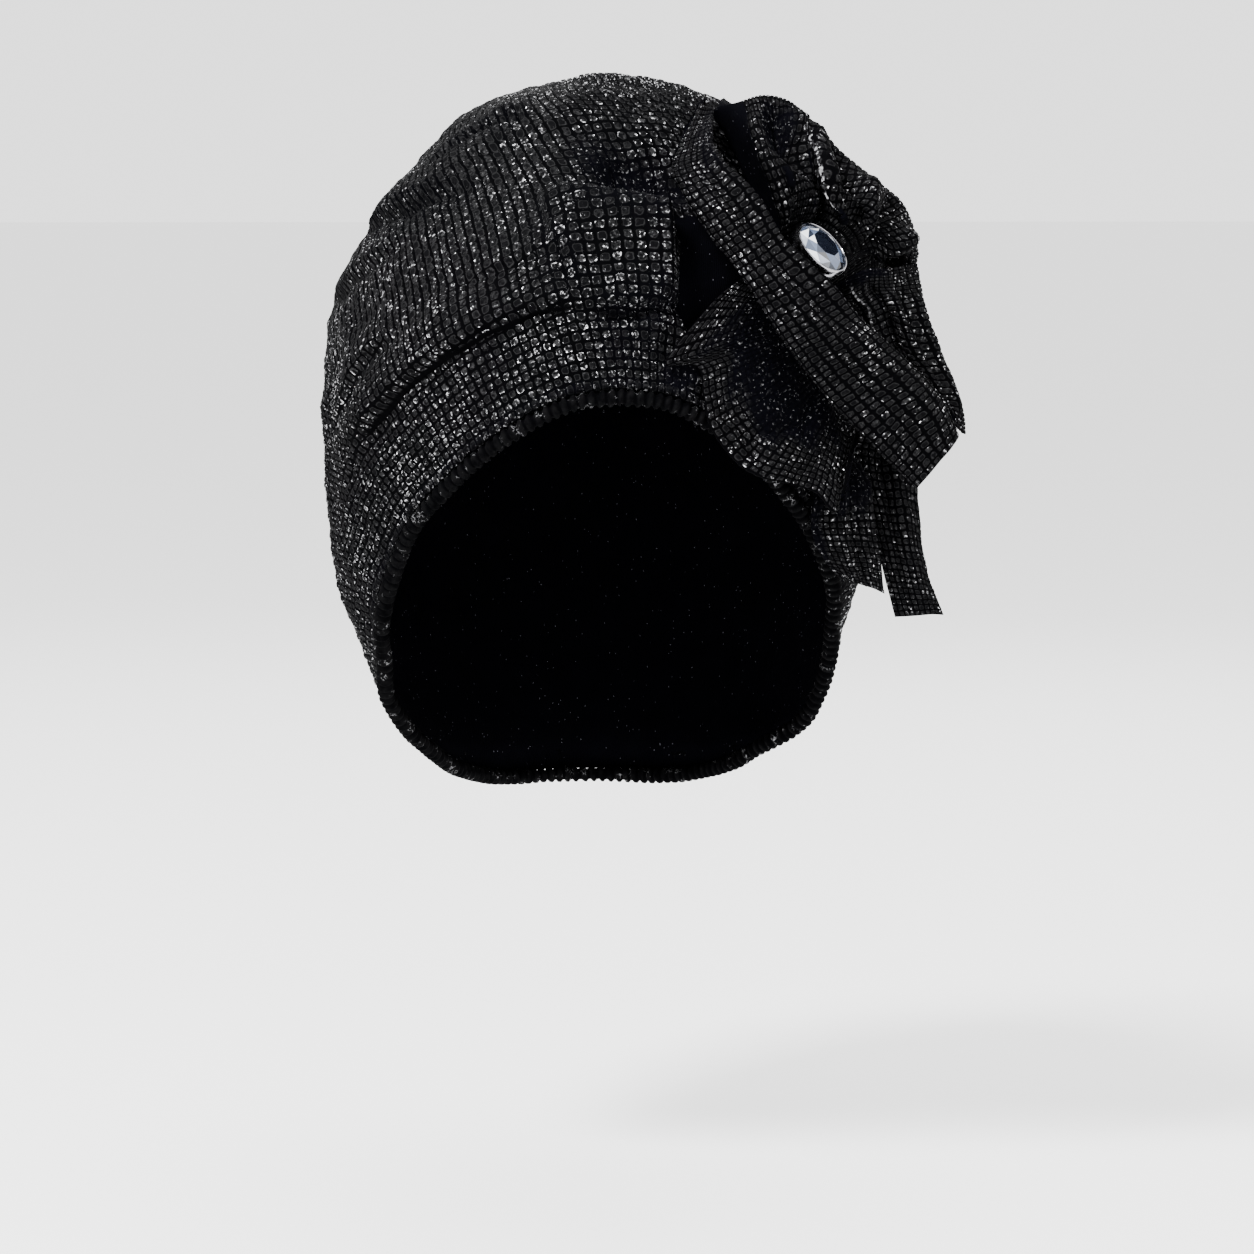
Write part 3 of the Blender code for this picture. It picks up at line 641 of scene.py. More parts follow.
def waffleMaterial(name, foilShare):
    look, m = waffleLook, Finish(name)
    uv, place = m.uv(), m.place()
    ribbed = m.attribute("ribbed")
    # The cloth attribute carries painted light: painted shade along creases, painted highlight
    # lines along ridges in pale metallic foil, and broad painted shade
    side, strength, paintedShade = m.split(m.attribute("cloth", "Vector"))
    beside = m.calc("ABSOLUTE", side)
    # painted shade along each crease line; it takes away the puffs and the foil
    crease = m.times(m.remap(beside, *look["creaseEdge"]), m.highest(strength, 0.0))
    # painted highlight along each ridge line, in pale metallic foil
    ridgeHighlight = m.times(strength, -1.0)
    ridgeHighlight = m.times(m.remap(beside, *look["ridgeHighlightEdge"]), m.highest(ridgeHighlight, 0.0))
    outsideShade = m.calc("SUBTRACT", 1.0, m.highest(crease, paintedShade))
    wobble = m.clouds(place, look["wobbleScale"], 1.0, 1)
    moved = m.vector("ADD", uv, i1=m.vector("SCALE", wobble, Scale=look["wobble"]))
    column, row, _ = m.split(m.vector("SUBTRACT", moved, i1=(look["wobble"] / 2,) * 3))
    across = m.scaled(m.calc("PINGPONG", column, 0.5), -2.0, 1.0)
    along = m.scaled(m.calc("PINGPONG", row, 0.5), -2.0, 1.0)
    along = m.times(along, m.scaled(ribbed, -look["ribJoin"], 1.0))
    corners = m.calc("ADD", m.calc("POWER", across, 4.0), m.calc("POWER", along, 4.0))
    fromMiddle = m.calc("POWER", corners, 0.25)  # the cell's square with rounded corners
    corner = m.vector("FLOOR", uv)
    each = m.add("ShaderNodeTexWhiteNoise", {"noise_dimensions": "2D"}, i0=corner).outputs["Value"]
    uneven = m.scaled(each, look["puffUneven"], m.calc("SUBTRACT", fromMiddle, 0.06))
    puff = m.times(m.remap(uneven, *look["puffEdge"]), outsideShade)
    patch = m.clouds(place, look["patchScale"], 2.0)
    grain = m.clouds(place, 1 / look["grain"], 1.0)
    curls = m.clouds(place, 1 / look["curl"], 1.5)
    ring = m.band(fromMiddle, *look["ring"])
    curl = m.band(curls, *look["curlWidth"])
    fleck = m.times(curl, m.remap(grain, *look["fleckGrain"]))
    fleck = m.times(fleck, m.times(paintedShade, look["fleck"]))
    curl = m.times(curl, puff)
    mark = m.times(m.highest(ring, curl), outsideShade)
    lot = grain
    for what, weight in zip((each, patch, ribbed), look["lot"]):
        lot = m.scaled(what, weight, lot)
    chosen = m.remap(lot, *(edge - foilShare for edge in look["lotEdge"]))
    ridgeHighlight = m.times(ridgeHighlight, m.remap(grain, *look["ridgeHighlightGrain"]))
    foil = m.highest(m.times(mark, chosen), ridgeHighlight)
    foil = m.highest(foil, fleck)
    shine = m.clouds(place, look["shineScale"], 0.0)
    foilTone = m.mixColours(m.remap(shine, *look["shineEdge"]), look["foilDim"], look["foilBright"])
    strand = m.calc("SINE", m.times(column, look["strands"]))
    tone = m.times(m.scaled(strand, look["strandDepth"], 1 - look["strandDepth"]), each)
    tone = m.times(tone, m.remap(grain, *look["toneGrain"]))
    tone = m.calc("ADD", tone, m.times(ring, look["ringTone"]))
    body = m.mixColours(tone, look["puff"], look["puffPale"])
    # channels take the painted shade colour where the cloth is shaded
    channel = m.mixColours(paintedShade, look["channel"], look["paintedShade"])
    colour = m.mixColours(puff, channel, body)
    return m.finish(
        {
            "Base Color": m.mixColours(foil, colour, foilTone),
            "Metallic": m.times(foil, foilShine["metallic"]),
            "Roughness": m.mixNumbers(foil, *foilShine["roughness"]),
            "Normal": m.bump(0.7, 0.0004, m.scaled(grain, 0.4, puff)),
            "Specular IOR Level": clothGloss,
        }
    )


jerseyLook = {
    "dark": (0.0003, 0.0003, 0.0007, 1),
    "pale": (0.0011, 0.0011, 0.0019, 1),
    "stray": (0.06, 0.06, 0.07, 1),
    "stitches": 31.4,
    "strayShare": (0.975, 0.985),
    "straySize": (0.34, 0.22),
}


def jerseyMaterial(name):  # the plain reverse of the cloth
    look, m = jerseyLook, Finish(name)
    uv, place = m.uv(), m.place()
    stitch = m.calc("SINE", m.times(m.split(uv)[0], look["stitches"]))
    cloud = m.clouds(place, 120.0, 4.0)
    speck = m.add("ShaderNodeTexVoronoi", Vector=place, Scale=1500.0)
    pick = m.add("ShaderNodeSeparateColor", i0=speck.outputs["Color"]).outputs[0]
    dot = m.remap(speck.outputs["Distance"], *look["straySize"])
    stray = m.times(m.remap(pick, *look["strayShare"]), dot)
    body = m.mixColours(cloud, look["dark"], look["pale"])
    return m.finish(
        {
            "Base Color": m.mixColours(stray, body, look["stray"]),
            "Normal": m.bump(0.3, 0.0002, stitch),
            "Roughness": 0.9,
            "Specular IOR Level": clothGloss,
        }
    )


ribLook = {
    "dark": (0.0003, 0.0003, 0.0005, 1),
    "pale": (0.0028, 0.0028, 0.0030, 1),
    "foil": (0.12, 0.12, 0.125, 1),
    "ribEdge": (0.44, 0.22),
    "curlWidth": (0.5, 0.030, 0.012),
    "foilCloud": (0.58, 0.66),
    "toneCloud": (0.3, 0.7),
}


def ribMaterial(name):
    look, m = ribLook, Finish(name)
    uv, place = m.uv(), m.place()
    rib = m.remap(m.calc("PINGPONG", m.split(uv)[0], 0.5), *look["ribEdge"])
    cloud = m.clouds(place, 260.0, 3.0)
    curl = m.band(m.clouds(place, 700.0, 1.5), *look["curlWidth"])
    foil = m.times(curl, m.remap(cloud, *look["foilCloud"]))
    tone = m.times(rib, m.remap(cloud, *look["toneCloud"]))
    body = m.mixColours(tone, look["dark"], look["pale"])
    return m.finish(
        {
            "Base Color": m.mixColours(foil, body, look["foil"]),
            "Metallic": m.times(foil, foilShine["metallic"]),
            "Roughness": m.mixNumbers(foil, *foilShine["roughness"]),
            "Normal": m.bump(0.4, 0.0003, cloud),
            "Specular IOR Level": clothGloss,
        }
    )


silverLook = {"pale": (0.40, 0.40, 0.42, 1), "dark": (0.22, 0.22, 0.24, 1), "rough": (0.08, 0.24)}


def silverMaterial(name):
    look, m = silverLook, Finish(name)
    wear = m.clouds(m.place(), 700.0, 4.0)
    return m.finish(
        {
            "Base Color": m.mixColours(wear, look["pale"], look["dark"]),
            "Roughness": m.remap(wear, 0.3, 0.8, *look["rough"]),
            "Metallic": 1.0,
        }
    )


# Colours painted on the stone's faces as reflections: dark, slate and white
clearLook = {
    "reflectedDark": (0.004, 0.005, 0.009, 1),
    "reflectedBlue": (0.10, 0.13, 0.20, 1),
    "reflectedWhite": (0.92, 0.95, 1.0, 1),
    "reflectedBlueEdge": (0.15, 0.45),
    "reflectedWhiteEdge": (0.66, 0.92),
}


def stoneMaterial(name):
    look, m = clearLook, Finish(name)
    haze = m.clouds(m.place(), 300.0, 2.0)
    # each face of the stone gets a painted reflection tone
    facetReflection = m.scaled(haze, 0.08, m.attribute("facetReflection"))
    dark = m.mixColours(m.remap(facetReflection, *look["reflectedBlueEdge"]), look["reflectedDark"], look["reflectedBlue"])
    tone = m.mixColours(m.remap(facetReflection, *look["reflectedWhiteEdge"]), dark, look["reflectedWhite"])
    return m.finish(
        {"Base Color": tone, "Roughness": 0.03, "IOR": 1.6, "Transmission Weight": 0.35}
    )


# The cap: outer cloth with its puffs, reverse inside, joined along the lower edge

# Places of painted shade on the cap: turn and drop of the middle, reach in each, drop gained by a
# degree, softness of the edge, strength
capShadePlaces = {
    "hollow": (6, 0.130, 18, 0.030, 0.0012, 1.5, 0.95),
    "belowTip": (13, 0.396, 4, 0.022, 0, 1.6, 0.95),
    "underLobe": (3, 0.360, 7, 0.022, 0, 1.6, 0.4),
}
# The sunk place beside the swag, whose faces take the plain dark reverse cloth as painted shade
voidLook = {
    "turn": 13.5,
    "top": 0.165,
    "low": 0.345,
    "width": 0.045,
    "depth": 0.0035,
    "wave": 0.0022,  # how far its left edge strays, and how often
    "waves": 160,
    "waveStart": -0.04,
    "soft": (0.002, 0.004, 0.003, 0.010),  # left, top, low and right
}
ribPlace = {  # where the puffs run together into ribs, up on the side away from the rosette
    "middle": (-0.062, -0.010, -0.030),
    "reach": (0.055, 0.12, 0.062),
    "edge": (1.25, 0.5),
    "uneven": 0.25,
    "strength": 0.9,
}

# how much painted shade the cap's cloth has, in its hollows and above the hem

def capShadeShare(turn, drop, down):  # how bare and dark the cap's cloth is
    look = capLook
    paintedShade = look["edgeShade"] * growing(down, *look["edgeShadeRows"])
    for midTurn, midDrop, wide, high, slope, edge, strength in capShadePlaces.values():
        fall = (drop - midDrop - (turn - midTurn) * slope) / high
        away = np.hypot((turn - midTurn) / wide, fall)
        paintedShade = np.maximum(paintedShade, strength * eased(edge - away))
    return paintedShade


def voidShare(turn, drop):  # 1 in the sunk place
    look = voidLook
    x, y = onCloth(turn, drop).T
    wave = look["wave"] * np.sin((y - look["waveStart"]) * look["waves"])
    left = onCloth(look["turn"], 0)[0] - wave
    top, low = onCloth(0, look["top"])[1], onCloth(0, look["low"])[1]
    softLeft, softTop, softLow, softRight = look["soft"]
    inside = eased((x - left) / softLeft) * eased((top - y) / softTop) * eased((y - low) / softLow)
    return inside * eased((left + look["width"] - x) / softRight)


def ribShare(points):
    away = np.linalg.norm((points - ribPlace["middle"]) / ribPlace["reach"], axis=1)
    uneven = softNoise(points, 0.02, 8) * ribPlace["uneven"]
    reach, soft = ribPlace["edge"]
    return eased((reach - away + uneven) / soft) * ribPlace["strength"]


def capShell(name, cells, steps, puff, inset):
    look = capLook
    mesh, cell = clothGrid(name, cells, steps)
    atRim = cell[:, 1] > cells[1] - 0.01
    around = np.where(atRim, np.round(cell[:, 0]), cell[:, 0]) / cells[0]
    down = cell[:, 1] / cells[1]
    turn, drop = capPlaces(around, down)
    widen = 0.0 if puff else creaseLook["reverseWiden"]
    turn, drop, relief, loose, marks = creaseCloth(turn, drop, widen)
    # broad painted shade in the hollows and above the hem
    marks[:, 2] = np.maximum(marks[:, 2], capShadeShare(turn, drop, down))
    keepMarks(mesh, marks)
    sunk = voidShare(turn, drop)
    points, normals = capSurface(turn, drop), capNormal(turn, drop)
    coarse, fine = look["wrinkleSizes"]
    wrinkle = softNoise(points, coarse, 1) * look["wrinkle"]
    wrinkle += softNoise(points, fine, 2) * look["wrinkle"] * look["fineWrinkle"]
    top, soft = look["ribbedRows"]
    ribbed = np.maximum(ribShare(points), eased((top - down) / soft))
    gather = np.cos(look["gathers"] * 2 * math.pi * around + 2 * softNoise(points, 0.03, 9))
    wrinkle += gather * look["gatherHeight"] * between(down, *look["gatherRows"])
    puffs = puffShape(cell, ribbed) * puffHeights(cell, 3) * loose * (1 - sunk)
    height = puff * (puffs - look["puffSink"]) - inset + wrinkle + relief
    height = np.where(atRim, -look["edgeSink"], height - voidLook["depth"] * sunk)
    tuck = unit(points - capSurface(turn, drop - 0.01)) * (look["edgeTuck"] * atRim)[:, None]
    setPoints(mesh, points + normals * height[:, None] + tuck)
    layer = mesh.attributes.new("ribbed", "FLOAT", "POINT")
    layer.data.foreach_set("value", ribbed.astype(np.float32))
    if puff:
        corners = readAll(mesh.loops, "vertex_index", 1, np.int32)
        # faces in the sunk place take the dark reverse cloth, as painted shade
        plain = (sunk > 0.5)[corners].reshape(-1, 4).all(axis=1)
        mesh.polygons.foreach_set("material_index", plain.astype(np.int32))
    return mesh


def makeCap(waffle, jersey):
    cells = (capLook["columns"], capLook["rows"])
    outer = capShell("cap", cells, (3, 2), capLook["puff"], 0)
    few = (cells[0], cells[1] // capLook["liningSteps"])
    inner = capShell("capReverse", few, (1, 1), 0, capLook["wall"])
    inner.flip_normals()
    bm = bmesh.new()
    bm.from_mesh(outer)
    outerCount = len(bm.faces)
    bm.from_mesh(inner)
    bm.faces.ensure_lookup_table()
    for face in bm.faces[outerCount:]:
        face.material_index = 1
    bm.to_mesh(outer)
    bm.free()
    weld(outer, 2e-6)
    bpy.data.meshes.remove(inner)
    cap = addPiece("cap", outer, [waffle, jersey])


hemLook = {
    "radius": 0.0029,
    "gap": 0.0003,
    "inward": 0.001,
    "ribs": 186,
    "ribDepth": 0.2,
    "ribTwist": 0.9,
    "sides": 14,
    "uneven": 0.07,
    "unevenSize": 0.009,
}


def aroundHem(rows, at, gone):  # values read along the closed line of the hem
    columns = [np.interp(at, gone, np.append(rows[:, k], rows[0, k])) for k in range(3)]
    return np.stack(columns, axis=-1)


def makeHem(material):
    look, ribs, sides = hemLook, hemLook["ribs"], hemLook["sides"]
    mesh, cell = clothGrid("rimRoll", (ribs, sides), (4, 2), 0.25)
    turns = np.arange(720) * 0.5
    drops = rimDrop(turns)
    edge = capSurface(turns, drops)
    down = unit(edge - capSurface(turns, drops - 0.01))
    ahead = np.roll(edge, -1, axis=0) - np.roll(edge, 1, axis=0)
    down -= ahead * (np.sum(down * ahead, -1) / np.sum(ahead * ahead, -1))[:, None]
    down = unit(down)
    inward = unit(np.cross(ahead, down))
    middle = edge + down * (look["radius"] + look["gap"]) + inward * look["inward"]
    gone = np.concatenate([[0], np.cumsum(np.linalg.norm(np.roll(edge, -1, 0) - edge, axis=1))])
    at = cell[:, 0] / ribs * gone[-1]
    centre = aroundHem(middle, at, gone)
    down, inward = unit(aroundHem(down, at, gone)), unit(aroundHem(inward, at, gone))
    angle = 2 * math.pi * cell[:, 1] / sides
    ribWave = np.cos(2 * math.pi * cell[:, 0] + look["ribTwist"] * np.sin(angle))
    uneven = softNoise(centre, look["unevenSize"], 4) * look["uneven"]
    radius = look["radius"] * (1 - look["ribDepth"] + look["ribDepth"] * ribWave + uneven)
    outward = np.cos(angle)[:, None] * inward + np.sin(angle)[:, None] * down
    setPoints(mesh, centre + outward * radius[:, None])
    weld(mesh, 2e-6)
    hem = addPiece("rim_roll", mesh, [material])


# The rosette's folds

jewelLook = {
    "side": 0.761,  # shares of the cap's half width, front and height
    "front": 0.800,
    "drop": 0.231,
    "axis": (0.57, -0.53, 0.62),
    "radius": 0.0102,
    "depth": 0.0042,
    "rim": 0.0009,
    "sink": 0.0023,
    "stone": 0.0042,
    "gap": 0.0003,
    "steps": 64,
    "sharp": 40,
}
rosetteLook = {
    "size": 0.1,
    "turn": -5.5,
    "wall": 0.0012,
    "clear": 0.0015,
    "clearCore": 0.0009,
    "lip": 0.12,
    "pull": 0.35,
    "cell": 0.0023,
    "puff": 0.0006,
    "puffSink": 0.5,
    "wrinkle": 0.0006,
    "wrinkleSize": 0.008,
    "foldWidth": 0.0033,
    "foldEnds": 0.2,
    # where the painted shade patches of a fold end, and how their edge waves
    "shadeEdge": (1.15, 0.35),
    "shadeWave": (0.12, 31, 17),
}
# Each fold of the rosette, station by station, in hundredths of the rosette's size: the outer edge
# and the inner edge to the right, up and out of the jewel, bulge, curl of the lip, tuck of the
# inner edge. The cut is the size of the cloth before it was folded, in metres, and the cloth lies
# with its reverse outwards over the plain share of its length
petals = {
    "petal_front": {
        "stations": [
            (-38, 46, -22, -34, 44, -26, 2, 30, 10),
            (-45, 32, 0, -35, 36, -2, 3, 30, 10),
            (-47, 23, 10, -33, 28, 7, 4, 30, 8),
            (-38, 7, 20, -22, 16, 13, 5, 20, 6),
            (-27, -7, 21, -13, 2, 14, 5, 8, 3),
            (-15, -25, 19, 4, -14, 9, 6, 6, 4),
            (-6, -38, 15, 15, -25, 2, 6, 6, 5),
            (4, -50, 9, 27, -36, -4, 6, 5, 5),
            (18, -64, 1, 38, -47, -10, 5, 5, 5),
            (31, -77, -7, 45, -61, -16, 4, 4, 4),
        ],
        "cut": (0.18, 0.044), "cells": (70, 15), "ripples": 5, "rippleHeight": 0.008,
        "held": "folded",
    },
    "petal_top": {
        "stations": [
            (-33, 42, -60, -24, 12, -50, 2, 4, 4),
            (-33, 44, -34, -22, 11, -20, -2, 5, 4),
            (-26, 46, -24, -14, 7, -6, 10, 8, 12),
            (-18, 48, -20, -9, 9, -7, 9, 12, 20),
            (-9, 46, -20, -5, 11, -9, 5, 14, 20),
            (-2, 40, -22, -1, 12, -11, 4, 14, 20),
        ],
        "cut": (0.078, 0.064), "cells": (34, 28), "ripples": 3, "rippleHeight": 0.006,
        "plain": 0.42, "held": "folded",
    },
    "petal_upper_right": {
        "stations": [
            (-7, 36, -34, -2, 13, -20, 3, 8, 20),
            (1, 36, -22, 3, 12, -12, 8, 14, 20),
            (10, 28, -22, 8, 9, -12, 9, 14, 20),
            (20, 20, -25, 11, 6, -12, 8, 14, 20),
            (28, 12, -30, 13, 3, -13, 7, 14, 20),
            (32, 2, -33, 14, 0, -15, 5, 14, 20),
            (32, -5, -38, 15, -3, -22, 2, 12, 20),
            (28, -13, -52, 15, -9, -34, 0, 4, 20),
        ],
        "cut": (0.094, 0.062), "cells": (38, 26), "ripples": 3, "rippleHeight": 0.006,
        "held": "folded",
    },
    "petal_lower_right": {
        "stations": [
            (31.5, -5.5, -35, 12, -8, -10, 4, 4, 25),
            (33, -12, -33, 12, -14, -12, 6, 5, 25),
            (35, -22, -32, 16, -20, -15, 7, 10, 26),
            (41, -37, -35, 22, -33, -18, 6, 8, 12),
            (47, -52, -36, 32, -43, -23, 5, 6, 6),
            (48, -61, -36, 41, -53, -28, 3, 5, 5),
        ],
        "cut": (0.072, 0.052), "cells": (30, 22), "ripples": 3, "rippleHeight": 0.006,
        "held": "folded",
    },
    "ruffle_lower": {
        "stations": [
            (-25, -9, 3, -14, -16, -5, 1, 1, 2),
            (-36, -18, 14, -14, -20, -2, 0, 1, 2),
            (-51, -36, 20, -13, -24, -2, -1, 1, 2),
            (-41, -37, 19, -11, -28, -3, -1, 1, 2),
            (-38, -45, 21, -8, -32, -6, -1, 1, 2),
            (-35, -57, 22, -4, -38, -10, -1, 1, 2),
            (-25, -69, 20, 1, -43, -12, -1, 1, 2),
            (-12, -74, 14, 5, -48, -15, -1, 1, 2),
            (-2, -77, 6, 8, -52, -19, -1, 1, 2),
            (5, -84, 3, 11, -54, -20, -1, 1, 2),
            (8, -70, -4, 13, -55, -21, -1, 1, 2),
        ],
        "cut": (0.112, 0.04), "cells": (46, 17), "ripples": 5, "rippleHeight": 0.016,
        "held": "gathered", "open": True,
    },
    "tail_short": {
        "stations": [
            (-2, -57, -60, 5, -54, -60, 0, 1, 1),
            (-2, -66, -26, 9, -64, -30, 2, 1, 1),
            (-2, -78, -9, 17, -74, -20, 3, 1, 1),
            (-3, -90, -7, 19, -90, -17, 3, 1, 1),
            (1, -100, -9, 21, -102, -16, 3, 3, 1),
            (6, -106, -10, 22, -111, -16, 2, 2, 1),
        ],
        "cut": (0.076, 0.029), "cells": (30, 11), "ripples": 2, "rippleHeight": 0.006,
        "held": "hung", "open": True,
    },
    "tail_long": {
        "stations": [
            (14, -50, -70, 24, -50, -80, 0, 1, 1),
            (16, -55, -44, 33, -55, -48, 1, 1, 1),
            (12, -68, -31, 34, -70, -36, 2, 1, 2),
            (17, -88, -29, 35, -90, -32, 3, 1, 2),
            (21, -105, -28, 38, -107, -31, 3, 1, 2),
            (25, -120, -27, 42, -119, -31, 2, 1, 1),
        ],
        "cut": (0.098, 0.024), "cells": (38, 10), "ripples": 2, "rippleHeight": 0.006,
        "held": "hung", "open": True,
    },
}
# Small folds of the rosette: path in hundredths along and across the fold, rise in millimetres,
# width, painted light along the line (above 0 painted shade, below 0 a metallic painted highlight)
petalFolds = {
    "petal_front": [
        ([(14, 70), (30, 70), (48, 72), (62, 74)], 2, 0.8, 0),
        ([(16, 60), (30, 58), (48, 60), (66, 62)], -1.6, 0.7, 0.25),
        ([(20, 50), (34, 46), (52, 48), (74, 52)], 1.4, 0.9, 0),
        ([(24, 36), (40, 34), (58, 36), (80, 40)], -1, 0.9, 0.25),
        ([(62, 66), (74, 62), (88, 62), (100, 60)], 1.6, 1, 0),
        ([(66, 50), (80, 50), (92, 48), (100, 46)], -1.2, 0.9, 0.25),
    ],
    "petal_top": [
        ([(62, 26), (64, 36), (70, 44), (80, 49), (90, 52)], -7.5, 2.1, 0.8),
        ([(50, 56), (66, 58), (81, 65), (94, 78)], 4.3, 1.6, 0),
        ([(46, 30), (48, 44), (50, 60), (54, 76)], 2.9, 1.5, 0),
        ([(86, 26), (89, 45), (92, 60)], 3.2, 1.5, -0.6),
    ],
    "petal_upper_right": [
        ([(8, 16), (13, 40), (19, 64), (34, 80)], 6.4, 1.2, -0.6),
        ([(19, 18), (26, 39), (33, 55), (49, 75)], -4.9, 1.4, 0.8),
        ([(36, 26), (41, 51), (58, 75)], 4.3, 1.4, 0),
        ([(50, 26), (56, 55), (74, 73)], -4.1, 1.2, 0.8),
        ([(66, 28), (73, 51), (84, 74)], 4.9, 1.4, 0),
        ([(83, 68), (88, 55), (93, 38)], -7.2, 1.9, 0.8),
    ],
    "petal_lower_right": [
        ([(8, 78), (37, 74), (66, 80)], 3.2, 0.9, -0.6),
        ([(12, 66), (42, 62), (70, 64), (92, 66)], -3, 0.9, 0.8),
        ([(18, 54), (50, 50), (92, 52)], 3, 0.9, 0),
        ([(20, 44), (52, 42), (92, 44)], -2.4, 0.8, 0.8),
        ([(22, 34), (52, 33), (92, 36)], 2.2, 0.8, 0),
    ],
    "ruffle_lower": [
        ([(10, 62), (30, 60), (52, 58), (74, 56)], -4, 2.6, 0),
        ([(60, 20), (62, 40), (66, 60)], 2.6, 1.2, 0),
    ],
    "tail_short": [
        ([(30, 40), (55, 45), (80, 40), (100, 44)], 2.2, 0.9, 0),
        ([(30, 62), (55, 64), (80, 60), (100, 62)], -1.8, 0.8, 0.2),
    ],
    "tail_long": [
        ([(30, 36), (60, 40), (100, 36)], -1.8, 0.8, 0.2),
        ([(30, 56), (60, 60), (100, 58)], 2, 0.9, 0),
    ],
}
# Patches of painted shade on each fold: middle and reach along and across it, strength
foldShadePlaces = {
    "petal_front": [((0.1, 0.8), (0.16, 0.3), 0.6)],
    "petal_top": [((0.68, 0.4), (0.16, 0.12), 0.9), ((0.5, 0.9), (0.5, 0.16), 0.5)],
    "petal_upper_right": [((0.88, 0.74), (0.12, 0.22), 0.95), ((0.5, 0.98), (0.6, 0.16), 0.6)],
    "petal_lower_right": [((0, 0.72), (0.12, 0.24), 0.95), ((0.4, 0.95), (0.6, 0.14), 0.6)],
    "ruffle_lower": [((0.42, 0.82), (0.42, 0.56), 0.97)],
    "tail_short": [((0.28, 0.55), (0.26, 0.6), 0.95), ((0.6, 0), (0.3, 0.16), 0.9)],
}
jewelPlace = np.array(
    [
        jewelLook["side"] * capLook["width"] / 2,
        -jewelLook["front"] * capLook["front"],
        capLook["crownRise"] - jewelLook["drop"] * capLook["height"],
    ]
)
jewelAxis = np.array(Vector(jewelLook["axis"]).normalized())
rosetteTurn = math.radians(rosetteLook["turn"])
rightWay = np.array([math.cos(rosetteTurn), math.sin(rosetteTurn), 0])
outWay = np.array([math.sin(rosetteTurn), -math.cos(rosetteTurn), 0])
upWay = np.array([0, 0, 1.0])


def rosettePoint(share):
    offset = share[:, :1] * rightWay + share[:, 1:2] * upWay + share[:, 2:3] * outWay
    return jewelPlace + offset * rosetteLook["size"]


def besideCore(points, clearance):
    offset = points - jewelPlace
    height = offset @ jewelAxis
    across = offset - height[:, None] * jewelAxis
    away = np.linalg.norm(across, axis=1)
    least = jewelLook["radius"] + jewelLook["gap"] + clearance
    short = np.where((height < jewelLook["depth"]) & (away < least), least - away, 0)
    return points + unit(across) * short[:, None]


def nodeTree(node):
    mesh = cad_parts[node].data
    return BVHTree.FromPolygons([v.co for v in mesh.vertices], [p.vertices for p in mesh.polygons])


# Rays that find the cloth below: where they start, and the least slope that a seat is measured on
seatLook = {"start": 0.7, "facing": 0.02, "slope": 0.55}


def seated(points, clearance, trees):  # the points, moved out to keep clear of the frame's cloth
    middle = Vector(headMiddle)
    found = []
    for point in points:
        outward = Vector(point) - middle
        reach = outward.length
        outward.normalize()
        for tree in trees:
            place, normal, _, _ = tree.ray_cast(middle + outward * seatLook["start"], -outward)
            if place is None or normal.dot(outward) < seatLook["facing"]:
                continue
            slope = max(normal.dot(outward), seatLook["slope"])
            reach = max(reach, (place - middle).dot(outward) + clearance / slope)
        found.append(middle + outward * reach)
    return np.array(found)


def laidOn(points, trees):  # a fold's points, clear of the jewel's seat, the cap and the hem
    half = rosetteLook["wall"] / 2
    points = besideCore(points, half + rosetteLook["clearCore"])
    return seated(points, half + rosetteLook["clear"], trees)


def petalPoints(look, way, share):
    rows = np.array(look["stations"]) / 100
    row = smoothRows(np.broadcast_to(rows, (len(way), *rows.shape)), way * (len(rows) - 1))
    outer, inner = row[:, :3], row[:, 3:6]
    bulge, curl, tuck = row[:, 6:7], row[:, 7:8], row[:, 8:9]
    axis = np.array([jewelAxis @ rightWay, jewelAxis[2], jewelAxis @ outWay])
    aside = unit(inner - axis * (inner @ axis)[:, None])
    ahead = np.array([0, 0, 1.0])
    middle = (outer + inner) / 2 + bulge * ahead
    if look.get("open"):
        near, far = ((edge + middle) / 2 + bulge * ahead / 4 for edge in (outer, inner))
        section = np.stack([outer, near, middle, far, inner - axis * tuck], axis=1)
    else:
        lip = outer + (inner - outer) * rosetteLook["lip"] - curl * ahead
        end = inner - axis * tuck - aside * tuck * rosetteLook["pull"]
        section = np.stack([lip, outer, middle, inner, end], axis=1)
    place = smoothRows(section, share * 4)
    wave = look["rippleHeight"] * np.sin(2 * math.pi * look["ripples"] * way)
    place[:, 2] += wave * (1 - share)
    return rosettePoint(place)


def pleatRelief(name, way, share, size):  # the small folds of one petal, the painted shade and painted highlight lines along them, and its patches of painted shade
    relief, marks = np.zeros(len(way)), clothMarks(len(way))
    here = np.stack([way, share], axis=-1)
    fade = rosetteLook["foldEnds"]
    for path, rise, width, shows in petalFolds.get(name, []):
        distance, above, place, _ = nearLine(np.array(path) / 100 * size, here * size)
        strength = ends(place, fade, fade)
        width = width * rosetteLook["foldWidth"]
        relief += rise / 1000 * np.exp(-((distance / width) ** 2)) * strength
        # painted shade along valleys, and a metallic painted highlight along ridges
        if shows:
            markLine(marks, distance, above, strength * shows)
    edge, soft = rosetteLook["shadeEdge"]
    wave, along, across = rosetteLook["shadeWave"]
    # patches of painted shade on the fold
    for middle, reach, strength in foldShadePlaces.get(name, []):
        away = np.hypot(*((here - middle) / reach).T)
        away += wave * np.sin(along * way + across * share)
        marks[:, 2] = np.maximum(marks[:, 2], strength * eased((edge - away) / soft))
    return relief, marks


